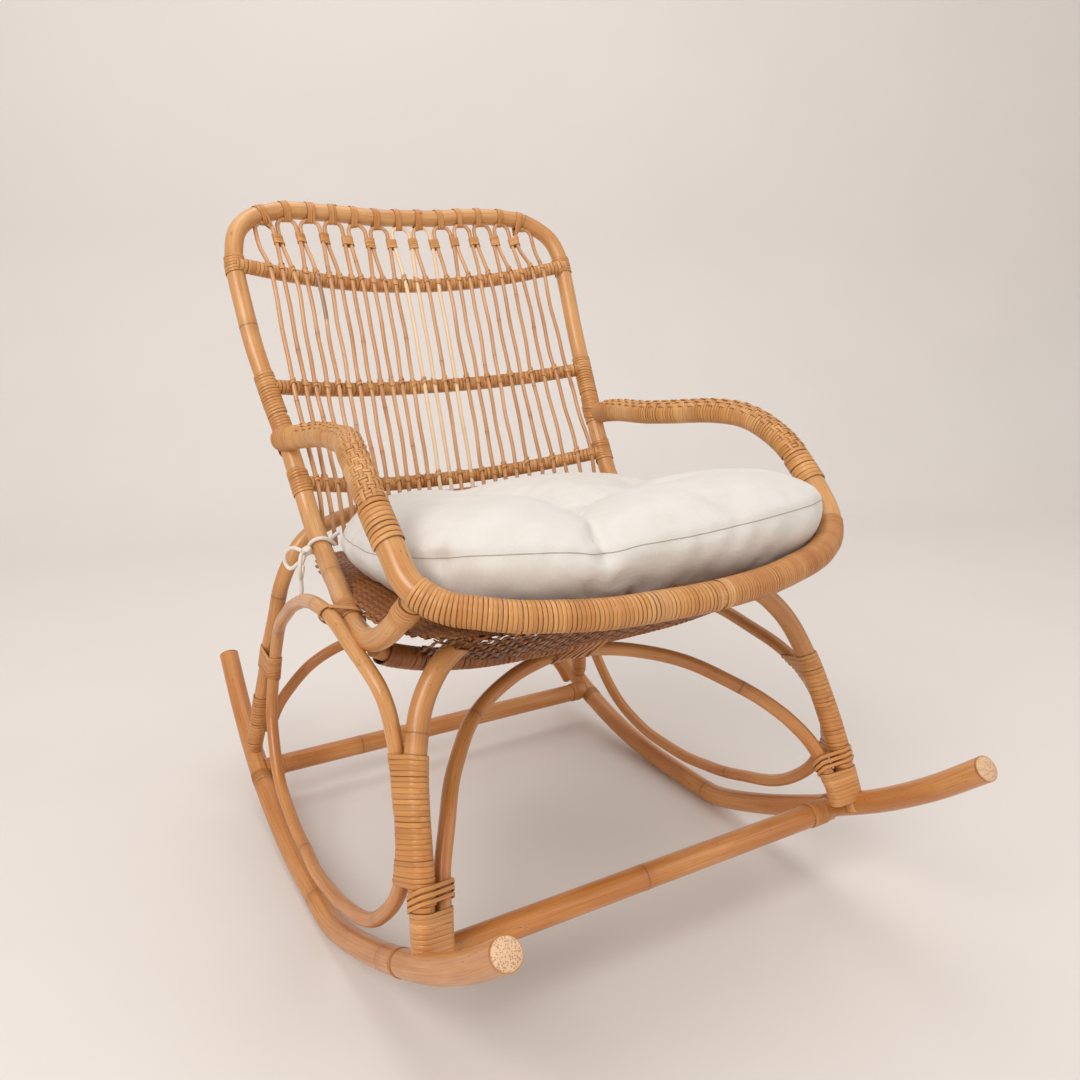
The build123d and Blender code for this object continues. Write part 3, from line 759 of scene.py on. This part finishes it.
def make_back_lashings(lines, canes):
    """Cane wound along the three rails, a loop round each back cane, collars and small ties."""
    rails = (("upper", UPPER_RAIL, 764), ("mid", MID_RAIL, 612), ("lower", LOWER_RAIL, 498))
    for number, (name, points, level) in enumerate(rails):
        rail = lines["back_rail_" + name]
        parts = Parts()

        def tone(s, middle=rail.length / 2):
            return 0.06 + 0.22 * np.cos((s - middle) * 2000 * math.pi / HAIRPIN_PITCH * 2)

        winding(parts, rail, 0.006, rail.length - 0.006, RAIL_R, "rail", seed=number, uneven=0.12,
                slant=0.0012, tone=tone)
        for index, cane in enumerate(canes):
            height = rail_point(points, cane_place(index))[2]
            for way, first, last in ((1, 0.0, 0.5), (-1, 0.5, 1.0)):
                s = cane.find(2, height + 9.5, first, last)
                winding(parts, cane, s - 0.0046 * way, s + 0.0036 * way, CANE_R, "rail_loop", per_turn=16,
                        seed=level + index * 2 + int(first * 2), tone=-0.05, slant=0.0026)
        parts.build("rail_lashing_" + name)
    parts = Parts()
    hoop = lines["back_hoop"]
    for index, cane in enumerate(canes):
        s = hoop.find(0, cane_place(index), 0.35, 0.65)
        winding(parts, hoop, s - 0.0054, s + 0.0054, HOOP_R, "collar", [(cane, CANE_R, *ALL_ALONG)], 32,
                seed=300 + index, tone=0.3)
        crown = cane.length / 2
        winding(parts, cane, crown - 0.004, crown + 0.004, CANE_R, "crown", per_turn=14, seed=320 + index,
                tone=0.15)
    parts.build("cane_top_collars", ["cane_top_bindings"])
    parts = Parts()
    for index, (left, right) in enumerate(zip(canes, canes[1:])):
        top = rail_point(TOP_RAIL, cane_place(index + 0.5))[2]
        s = left.find(2, top - 40, 0.5, 1.0)
        winding(parts, left, s - 0.0104, s + 0.0056, CANE_R, "pair", [(right, CANE_R, *ALL_ALONG)], 22,
                seed=340 + index, tone=0.02)
    parts.build("cane_pair_ties")


def make_post_bindings(lines):
    """Rings of binding cane on the two posts and the side rails."""
    hoop = lines["back_hoop"]
    total = hoop.length
    for name, low, high in (("upper", 752, 777), ("mid", 577, 625), ("lower", 485, 511), ("arm", 535, 577)):
        parts = Parts()
        a, b = (hoop.find(2, z, 0.12, 0.45) for z in (low, high))
        winding(parts, hoop, a, b, HOOP_R, "post", seed=low)
        winding(parts, hoop, total - a, total - b, HOOP_R, "post", seed=low)
        if name == "arm":
            end = hoop.find(2, 549, 0.12, 0.45)
            for s in (end, total - end):
                winding(parts, hoop, s - 0.012, s + 0.012, HOOP_R + 0.0012, "arm_joint", seed=int(s * 999),
                        slant=0.007, tone=0.05)
        parts.build("post_winding_" + name, ["post_bindings_" + name])
    parts = Parts()
    a, b = hoop.find(1, -92, 0.0, 0.25), hoop.find(1, -58, 0.0, 0.25)
    loop = (lines["side_loop_left"], LOOP_R, *ALL_ALONG)
    winding(parts, hoop, a, b, HOOP_R, "side_rail", seed=5)
    winding(parts, hoop, a + 0.002, a + 0.012, HOOP_R, "side_strap", [loop], 34, seed=6, lift=0.0013,
            tone=-0.1)
    winding(parts, hoop, total - a, total - b, HOOP_R, "far_side_rail", seed=7)
    parts.build("side_rail_winding", ["side_rail_bindings"])
    parts = Parts()
    for s0, s1, seed in ((0.002, 0.03, 8), (total - 0.002, total - 0.03, 9)):
        winding(parts, hoop, s0, s1, HOOP_R, "hoop_end", seed=seed, slant=0.0015)
    parts.build("hoop_end_winding")


def weave_on_arm(parts, arm, way, first, last, rng):
    """Five rows of short strips on top of an arm, alternate rows half a period apart."""
    step, period = 0.0079, 0.0158
    up = np.array([0.0, -0.35, 0.94])
    arch = RIM_R + 0.0004 + 0.0017 * np.sin(np.linspace(0, math.pi, 6)) ** 0.7
    for row in range(-2, 3):
        s = first + (row % 2) * step
        while s + step * 1.25 < last:
            ends = np.linspace(s, s + step * 1.3, 6)
            ends = ends if way == 1 else arm.length - ends
            p, _, n, b = arm.at(ends)
            lean = arm.angle_of(ends, up) + way * math.radians(23) * row + rng.uniform(-0.04, 0.04)
            d = n * np.cos(lean)[:, None] + b * np.sin(lean)[:, None]
            strand(parts, p + d * arch[:, None], 0.0047, 0.0011, int(s * 9999) + row,
                   rng.uniform(-0.1, 0.2), d.mean(0))
            s += period + rng.uniform(-0.0006, 0.0006)


def make_arm_windings(lines):
    """Tight winding on the arms with a basket weave of short strips on top, and the wrapped front rim."""
    arm = lines["arm_and_front_rim"]
    start, stop = arm.find(1, 190, 0.0, 0.1), arm.find(2, 514, 0.0, 0.4)
    coarse = arm.find(2, 543, 0.0, 0.4)
    rng = random.Random(21)
    for name, way in (("left", 1), ("right", -1)):
        parts = Parts()
        ends = [s if way == 1 else arm.length - s for s in (start - 0.012, coarse, stop)]
        winding(parts, arm, ends[0], ends[1], RIM_R, "arm", seed=22 + way, uneven=0.1,
                tone=lambda s: 0.12 * np.sin(s * 60) - 0.1 * (np.sin(s * 23) > 0.6))
        winding(parts, arm, ends[1], ends[2], RIM_R, "arm_coarse", seed=25 + way, uneven=0.15)
        weave_on_arm(parts, arm, way, start + 0.035, coarse + 0.004, rng)
        parts.build("arm_winding_" + name, ["arm_wrap_" + name])
    first = arm.find(2, 480, 0.0, 0.4)
    middle = arm.length / 2

    def tone(s):
        """Reddish or paler lengths where one strand of cane ends and the next begins."""
        x = (s - middle) * 1000
        found = np.where(x < 30, 0.15, 0.42)
        for low, high, shade in ((150, 172, 0.75), (290, 318, 0.75), (-60, -30, -0.15), (24, 40, -0.15)):
            found = np.where((x > low) & (x < high), shade, found)
        return found

    parts = Parts()
    change = middle + 0.03
    winding(parts, arm, first, change, RIM_R, "rim", seed=31, uneven=0.1, tone=tone)
    winding(parts, arm, change, arm.length - first, RIM_R, "rim_fine", seed=32, uneven=0.1, tone=tone)
    parts.build("rim_winding", ["rim_wrap"])


def make_leg_windings(lines):
    """Thick windings that tie legs, side loops, arches, stretchers and rockers together."""
    rear, arch = lines["rear_leg_arch"], lines["front_arch"]
    for side in ("left", "right"):
        leg, loop, rocker = (lines[name + side] for name in ("front_leg_", "side_loop_", "rocker_"))
        top, middle, base, tie = (leg.find(2, z) for z in (308, 178, 136, 190))
        near = [(loop, LOOP_R, leg.find(2, 200), 9), (arch, ARCH_R, 0, leg.find(2, 182))]
        parts = Parts()
        winding(parts, leg, top, middle, LEG_R, "leg", near, 26, seed=41, uneven=0.08)
        winding(parts, leg, middle, base, LEG_R, "leg_foot", near, 26, seed=42, uneven=0.08, tone=-0.1)
        winding(parts, leg, tie - 0.009, tie + 0.009, LEG_R, "leg_tie", [(arch, ARCH_R, *ALL_ALONG)], 34,
                seed=43, lift=0.0016, slant=0.006)
        parts.build("front_leg_winding_" + side, ["front_leg_wrap_" + side])
        heights = [rear.find(2, z, 0.0, 0.4) for z in (84, 173, 222, 258)]
        foot, knee, low, high = (s if side == "left" else rear.length - s for s in heights)
        parts = Parts()
        winding(parts, rear, foot, knee, REAR_R, "rear_leg", seed=44, uneven=0.1)
        parts.build("rear_leg_winding_" + side, ["rear_leg_wrap_" + side])
        parts = Parts()
        winding(parts, rear, low, high, REAR_R, "rear_tie", [(loop, LOOP_R, *ALL_ALONG)], 30, seed=45,
                slant=0.003)
        parts.build("rear_tie_winding_" + side, ["rear_tie_" + side])
        parts = Parts()
        ring = rocker.find(1, -281, 0, 0.5)
        winding(parts, rocker, ring + 0.018, ring + 0.026, ROCKER_R, "front_ring", seed=46, tone=0.3)
        low, high = (rocker.find(1, y, 0.5, 1) for y in (268, 282))
        winding(parts, rocker, low, high, ROCKER_R, "rear_ring", seed=47, tone=0.2)
        for name, low, high in (("front_stretcher", 0.012, 0.036), ("rear_stretcher", 0.012, 0.028)):
            bar = lines[name]
            low, high = (s if side == "left" else bar.length - s for s in (low, high))
            winding(parts, bar, low, high, ROCKER_R, "stretcher", seed=48, tone=0.1)
        parts.build("joint_winding_" + side)


def weave_seat(name, space, width):
    """Strands that pass over and under each other, laid both ways on top of a CAD surface."""
    low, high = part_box(name)
    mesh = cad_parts[name].data
    tree = BVHTree.FromPolygons([v.co for v in mesh.vertices], [p.vertices for p in mesh.polygons])
    parts = Parts()
    rng = random.Random(61)
    step = 0.0042
    for axis in (0, 1):
        other = 1 - axis
        gap = space * (3.0 if name == "seat_skirt" and axis == 0 else 1.0)
        steps = int((high[axis] - low[axis]) / step) + 1
        for k in range(int((high[other] - low[other]) / gap) + 1):
            run = []
            for i in range(steps + 1):
                spot = [0.0, 0.0, 1.0]
                spot[other] = low[other] + gap * (k + 0.5)
                spot[axis] = low[axis] + step * i
                hit = tree.ray_cast(Vector(spot), Vector((0, 0, -1)))[0] if i <= steps else None
                if hit is not None:
                    cell = math.pi * (spot[axis] - low[axis]) / space + math.pi * ((k + axis) % 2)
                    run.append((hit.x, hit.y, hit.z - 0.0015 + 0.0011 * math.sin(cell)))
                if (hit is None or i == steps) and len(run) > 3:
                    strand(parts, run, width * rng.uniform(0.85, 1.05), 0.0014, k * 7 + axis,
                           rng.uniform(-0.05, 0.2))
                if hit is None:
                    run = []
    parts.build(name + "_weave", [name], WOVEN, "woven_cane")


def make_seat(lines):
    """The woven cane seat, its edge on the low seat bar, and the lashing down to the front arch."""
    bar, arch = lines["seat_bar"], lines["front_arch"]
    parts = Parts()
    winding(parts, bar, 0.014, bar.length - 0.014, BAR_R + 0.001, "seat_bar", seed=51, uneven=0.3,
            slant=0.0015, lift=0.0004)
    parts.build("seat_bar_winding", (), WOVEN, "woven_cane")
    parts = Parts()
    s = arch.find(0, -24, 0.3, 0.5)
    winding(parts, arch, s, s + 0.062, ARCH_R, "lashing", [(bar, BAR_R + 0.003, *ALL_ALONG)], 40, seed=52,
            uneven=0.3, slant=0.003)
    winding(parts, arch, s + 0.004, s + 0.03, ARCH_R, "lashing_foot", seed=53)
    parts.build("arch_lashing")
    weave_seat("seat_panel", 0.0085, 0.0066)
    weave_seat("seat_skirt", 0.0095, 0.0048)


# ---- cushion
CUSHION_PLAN = [
    (-118, -312), (118, -312), (216, -294), (256, -256), (252, -130), (236, 20), (216, 98), (172, 158),
    (112, 182), (-112, 182), (-172, 158), (-216, 98), (-238, 20), (-250, -120), (-246, -230), (-200, -281),
]
CUSHION_MID = np.array([0.0, -0.057, 0.471])
CUSHION_TILT = -math.radians(7.2)
UPPER_HEIGHT, LOWER_HEIGHT, MOST_HEIGHT = 0.037, 0.059, 0.050
UPPER_FULLNESS, LOWER_FULLNESS = 4.4, 7.0
MOST_CLOTH_MOVES = 0.009
FRONT_TUCK = (-0.085, -0.25)
FRONT_TUCK_ANGLE, LEFT_TUCK_ANGLE = math.atan2(FRONT_TUCK[1], FRONT_TUCK[0]), -2.47
VALLEYS = [
    [FRONT_TUCK, (-0.048, -0.135), (0.0, -0.06), (0.075, -0.055), (0.16, 0.05)],
    [(0.0, -0.06), (-0.02, 0.04), (-0.03, 0.17)],
]
SEAM_R = 0.0005
TUFTS = [(-0.048, -0.135), (0.075, -0.055), (-0.02, 0.04)]
SEAT_TOP = [(-322, 446), (-250, 431), (-150, 421), (-40, 415), (70, 405), (150, 396), (212, 392)]


def cushion_reach():
    """The plan's outline as a smooth radius for each direction from the cushion's middle."""
    pts = np.array(CUSHION_PLAN, float) * 0.001 - CUSHION_MID[:2]
    for _ in range(4):
        nxt = np.roll(pts, -1, axis=0)
        pts = np.stack([0.75 * pts + 0.25 * nxt, 0.25 * pts + 0.75 * nxt], 1).reshape(-1, 2)
    angle = np.arctan2(pts[:, 1], pts[:, 0])
    order = angle.argsort()
    return angle[order], np.hypot(pts[:, 0], pts[:, 1])[order]


def to_world(local):
    c, s = math.cos(CUSHION_TILT), math.sin(CUSHION_TILT)
    x, y, z = local[:, 0], local[:, 1], local[:, 2]
    return np.stack([x, y * c - z * s, y * s + z * c], 1) + CUSHION_MID


def valley_distance(x, y):
    """Distance in plan to the nearest valley between the cushion's lobes."""
    found = np.full(x.shape, 9.0)
    for path in VALLEYS:
        for (ax, ay), (bx, by) in zip(path, path[1:]):
            run = (bx - ax) ** 2 + (by - ay) ** 2
            t = np.clip(((x - ax) * (bx - ax) + (y - ay) * (by - ay)) / run, 0, 1)
            found = np.minimum(found, np.hypot(x - ax - t * (bx - ax), y - ay - t * (by - ay)))
    return found


def cushion_blank():
    """The cushion before it is blown up: two domes on its plan, low along the valleys and tufts."""
    angles, reach = cushion_reach()
    around, rings = 132, 26
    phi = np.linspace(-math.pi, math.pi, around, endpoint=False)
    radius = np.interp(phi, angles, reach, period=2 * math.pi)
    verts = []
    levels = np.sin(np.linspace(0, 1, rings) * math.pi / 2)
    for side in (1, -1):
        for f in levels if side == 1 else levels[-2::-1]:
            most, fullness = (UPPER_HEIGHT, UPPER_FULLNESS) if side == 1 else (LOWER_HEIGHT, LOWER_FULLNESS)
            height = most * (1 - f ** fullness) ** 0.5
            for a, r in zip(phi, radius):
                rr = (r + 0.001) * max(f, 0.004)
                verts.append((rr * math.cos(a), rr * math.sin(a), side * height))
    verts = np.array(verts)
    away = valley_distance(verts[:, 0], verts[:, 1])
    out = np.hypot(verts[:, 0], verts[:, 1])
    upper = verts[:, 2] > 0
    low = 0.009 * bump(away, 0.020) + 0.008 * bump(away, 0.055)
    for x, y in TUFTS:
        low = low + 0.006 * bump(np.hypot(verts[:, 0] - x, verts[:, 1] - y), 0.018)
    fade = np.clip(verts[:, 2] / 0.02, 0, 1)
    verts[:, 2] -= np.where(upper, low * fade, 0.0)
    verts[:, 2] -= 0.006 * np.clip(1 - out / 0.2, 0, 1) + 0.004 * np.clip((verts[:, 1] + 0.12) / 0.2, 0, 1)
    faces = [tuple(f) for f in grid_faces(2 * rings - 1, around)]
    faces += [tuple(range(around))[::-1], tuple(range(len(verts) - around, len(verts)))]
    mesh = bpy.data.meshes.new("cushion_cover")
    mesh.from_pydata([tuple(v) for v in verts], [], faces)
    return new_object("cushion_cover", mesh)


def make_cushion():
    """A stuffed cotton cushion: cloth blown up over its tufts, with a stitched seam at half height."""
    obj = cushion_blank()
    remesh = obj.modifiers.new("remesh", "REMESH")
    remesh.mode = "VOXEL"
    remesh.voxel_size = 0.005
    apply_modifier(obj, "remesh")
    rest = points_of(obj)
    blow_up(obj, rest)
    moved = points_of(obj) - rest
    moved -= moved.mean(0)
    far = np.linalg.norm(moved, axis=1, keepdims=True)
    local = rest + moved * np.minimum(1, MOST_CLOTH_MOVES / np.maximum(far, 1e-9))
    world = keep_clear(to_world(shape_cushion(local)))
    obj.data.vertices.foreach_set("co", world.ravel().astype(np.float32))
    obj.data.polygons.foreach_set("use_smooth", [True] * len(obj.data.polygons))
    obj.data.materials.append(COTTON)
    smooth = obj.modifiers.new("smooth", "SMOOTH")
    smooth.factor, smooth.iterations = 0.5, 2
    apply_modifier(obj, "smooth")
    split = obj.modifiers.new("subdivide", "SUBSURF")
    split.levels = split.render_levels = 1
    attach(obj, BODY)
    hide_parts("cushion")
    return obj


def keep_clear(world):
    """Press the cover flat on the woven seat and hold it off the rim and the side rails."""
    for name, radius in (("arm_and_front_rim", RIM_R + 0.0032), ("back_hoop", HOOP_R + 0.0032)):
        line = LINES[name].p
        low, high = world.min(0) - 0.03, world.max(0) + 0.03
        line = line[((line > low) & (line < high)).all(1)][::2]
        for first in range(0, len(world), 4000):
            block = world[first:first + 4000]
            gap = block[:, None] - line[None]
            dist = np.linalg.norm(gap, axis=2)
            best = dist.argmin(1)
            rows = np.arange(len(block))
            near = dist[rows, best]
            push = np.maximum(0, radius - near) / np.maximum(near, 1e-6)
            world[first:first + 4000] = block + gap[rows, best] * push[:, None]
    seat = np.array(SEAT_TOP, float) * 0.001
    floor = np.interp(world[:, 1], seat[:, 0], seat[:, 1]) + 0.0015
    world[:, 2] = np.maximum(world[:, 2], floor)
    return world


def apply_modifier(obj, name):
    bpy.context.view_layer.objects.active = obj
    with bpy.context.temp_override(object=obj, active_object=obj, selected_objects=[obj]):
        bpy.ops.object.modifier_apply(modifier=name)


def points_of(obj):
    co = np.zeros(len(obj.data.vertices) * 3, np.float32)
    obj.data.vertices.foreach_get("co", co)
    return co.reshape(-1, 3).astype(float)


def blow_up(obj, rest):
    """Inflate the cover as cloth, held at the tufts."""
    group = obj.vertex_groups.new(name="held")
    near = np.min([np.hypot(rest[:, 0] - x, rest[:, 1] - y) for x, y in TUFTS], axis=0)
    group.add([int(i) for i in np.nonzero(near < 0.0075)[0]], 1.0, "REPLACE")
    cloth = obj.modifiers.new("cloth", "CLOTH")
    c = cloth.settings
    c.quality = 6
    c.mass = 0.25
    c.tension_stiffness = c.compression_stiffness = 14
    c.shear_stiffness = 5
    c.bending_stiffness = 0.5
    c.use_pressure = True
    c.uniform_pressure_force = 4.0
    c.vertex_group_mass = "held"
    c.effector_weights.gravity = 0
    cloth.collision_settings.use_collision = False
    cloth.point_cache.frame_start, cloth.point_cache.frame_end = 1, 20
    scene = bpy.context.scene
    for number in range(1, 21):
        scene.frame_set(number)
    depth = bpy.context.evaluated_depsgraph_get()
    made = bpy.data.meshes.new_from_object(obj.evaluated_get(depth))
    co = np.zeros(len(made.vertices) * 3, np.float32)
    made.vertices.foreach_get("co", co)
    obj.modifiers.remove(cloth)
    obj.data.vertices.foreach_set("co", co)
    obj.data.update()
    scene.frame_set(1)


def around_tuck(angle, place, width):
    """How near a direction from the cushion's middle is to a tuck in the seam."""
    return bump(np.angle(np.exp(1j * (angle - place))), width)


def seam_height(angle):
    """The seam's height round the edge: it dips at the front tuck and at the left one."""
    front, left = around_tuck(angle, FRONT_TUCK_ANGLE, 0.10), around_tuck(angle, LEFT_TUCK_ANGLE, 0.06)
    return 0.001 * np.sin(3 * angle) - 0.006 * front - 0.002 * left


def edge_lift(angle):
    """How far the edge rises where it leans on the rim's ends, and sinks between them."""
    corners = 0.011 * around_tuck(angle, -2.38, 0.42) + 0.014 * around_tuck(angle, -0.66, 0.42)
    return corners + 0.003 * around_tuck(angle, -1.15, 0.3) - 0.005 * around_tuck(angle, math.pi, 0.7)


def shape_cushion(local):
    """Lobes, seam groove, tucks and gathers, in the cushion's own frame."""
    angles, reach = cushion_reach()
    angle = np.arctan2(local[:, 1], local[:, 0])
    edge = np.interp(angle, angles, reach, period=2 * math.pi)
    out = np.hypot(local[:, 0], local[:, 1])
    near_edge = np.clip((out - edge + 0.035) / 0.02, 0, 1)
    level = local[:, 2] - seam_height(angle)
    groove = near_edge * bump(level, 0.0055) * 0.0026
    gathers = np.sin(angle * 41 + 3 * np.sin(angle * 9)) * bump(level, 0.014) * 0.0008
    below = np.clip(-level / 0.006, 0, 1) * bump(level + 0.016, 0.016)
    folds = np.sin(angle * 27 + 4 * np.sin(angle * 5)) * below * 0.0016
    pinch = 0.0
    for place, depth in ((FRONT_TUCK_ANGLE, 0.010), (LEFT_TUCK_ANGLE, 0.007)):
        pinch = pinch + depth * around_tuck(angle, place, 0.045) * bump(level, 0.010)
        pinch = pinch + 0.004 * around_tuck(angle, place, 0.016) * bump(level - 0.012, 0.020)
    shrink = 1 - (groove + near_edge * (gathers + folds + pinch)) / np.maximum(out, 1e-6)
    local = local.copy()
    local[:, 0] *= shrink
    local[:, 1] *= shrink
    held_down = np.clip(1 + local[:, 2] / 0.048, 0.1, 1)
    lift = edge_lift(angle) * (out / edge) ** 2 * held_down
    local[:, 2] = np.minimum(local[:, 2], MOST_HEIGHT) + lift
    return local


def make_seam(cover):
    """The stitched seam: a thin line in the groove, laid on the finished cover."""
    depth = bpy.context.evaluated_depsgraph_get()
    tree = BVHTree.FromObject(cover, depth)
    path = []
    angles, reach = cushion_reach()
    for a in np.linspace(-math.pi, math.pi, 361):
        h = float(seam_height(a) + edge_lift(a))
        edge = float(np.interp(a, angles, reach, period=2 * math.pi))
        start, inside = to_world(np.array([
            [r * math.cos(a), r * math.sin(a), h] for r in (edge + 0.04, edge - 0.1)
        ]))
        hit = tree.ray_cast(Vector(start), Vector(inside - start).normalized())[0]
        if hit is not None:
            path.append(tuple(hit))
    line = Line(None, step=0.002, dense=path)
    ring = spokes(line.n, line.b, np.linspace(0, 2 * np.pi, 6, endpoint=False))
    parts = Parts()
    parts.add((line.p[:, None] + ring * SEAM_R).reshape(-1, 3), grid_faces(len(line.s), 6))
    m, t, shader = new_material("seam_thread")
    where = node(t, "ShaderNodeTexCoord").outputs["Object"]
    twist = noise(t, where, 900.0, 2.0)
    colour = blend(t, twist, (0.30, 0.25, 0.20), (0.46, 0.40, 0.34))
    finish_surface(t, shader, colour, ramp(t, twist, 0.0, 1.0, 0.8, 0.95), twist, 0.0002)
    parts.build("cushion_seam", (), m, "cushion_cotton")


# ---- cushion ties
def tie_frame():
    """The place on the -X post where the tie is knotted: centre, outward, down and along, in mm."""
    line = Line(symmetric(HOOP), step=0.0004)
    s = line.find(2, 432, 0.08, 0.3)
    p, t, _, _ = line.at(s)
    centre, along = Vector(p[0] * 1000), Vector(t[0])
    outward = Vector((-1, 0, 0))
    outward = (outward - along * outward.dot(along)).normalized()
    down = outward.cross(along).normalized()
    if down.z > 0:
        down = -down
    return centre, outward, down, along


def knot_centre():
    centre, outward, _, along = tie_frame()
    return centre + outward * (HOOP_R * 1000 + 6.5) - along * 8.5


def tie_routes():
    """The routes of one tie: round the post, two bow loops and a tail, in mm."""
    centre, outward, down, along = tie_frame()
    reach = (HOOP_R * 1000 + 2.9) / math.cos(math.radians(22.5))
    turn = []
    for step in range(9):
        angle = math.radians(200 - 45 * step)
        around = outward * math.cos(angle) + down * math.sin(angle)
        turn.append(centre + around * reach + along * (7.0 - 1.9 * step))
    turn.insert(0, turn[0] - outward * 9.0 - down * 5.0 + along * 2.0)
    knot = knot_centre()
    tail = [(0, 0, 0), (-5, 1, -11), (-7, 4, -23), (-5, 6, -36), (-6, 4, -49), (-9, 3, -61)]
    loop = [(0, 0, 0), (-5, 8, 3), (-10, 17, 1), (-14, 25, -7), (-15, 27, -18), (-12, 20, -26), (-8, 11, -23),
            (-4, 4, -15)]
    routes = {"tie_turn": turn}
    for name, side in (("tie_loop_front", -1), ("tie_loop_back", 1)):
        first = knot + Vector((-5.0, side * 5.0, -1.0))
        routes[name] = [first + Vector((x, side * y, z)) for x, y, z in loop]
    first = knot + Vector((-3.0, 0.0, -5.0))
    routes["tie_tail"] = [first + Vector(row) for row in tail]
    return routes


def make_ties():
    routes = tie_routes()
    for side in ("left", "right"):
        sign = 1 if side == "left" else -1
        centre = knot_centre() * 0.001
        centre.x *= sign
        verts = []
        rows, cols = 12, 18
        for i in range(rows + 1):
            for j in range(cols):
                a, b = math.pi * i / rows, 2 * math.pi * j / cols
                r = 0.0062 * (1 + 0.12 * math.sin(3 * b + 5 * a) * math.sin(a))
                out = Vector((math.sin(a) * math.cos(b), math.sin(a) * math.sin(b), math.cos(a)))
                verts.append(centre + r * out)
        add_piece("tie_knot_" + side, verts, grid_faces(rows + 1, cols), [TAPE], "tie_tape",
                               ["tie_knots"] if side == "left" else ())
        for name, route in routes.items():
            data = bpy.data.curves.new(name + "_tape_" + side, "CURVE")
            data.dimensions = "3D"
            data.bevel_depth = 0.0025
            data.bevel_resolution = 3
            data.resolution_u = 12
            data.use_fill_caps = True
            data.materials.append(TAPE)
            spline = data.splines.new("NURBS")
            spline.points.add(len(route) - 1)
            for point, place in zip(spline.points, route):
                point.co = (place.x * sign * 0.001, place.y * 0.001, place.z * 0.001, 1)
            spline.order_u = 3
            spline.use_endpoint_u = True
            obj = new_object(name + "_tape_" + side, data)
            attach(obj, BODY)
            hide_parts(name + "_" + side)


LINES = make_poles()
CANES = make_canes()
make_back_lashings(LINES, CANES)
make_post_bindings(LINES)
make_arm_windings(LINES)
make_leg_windings(LINES)
make_seat(LINES)
make_seam(make_cushion())
make_ties()
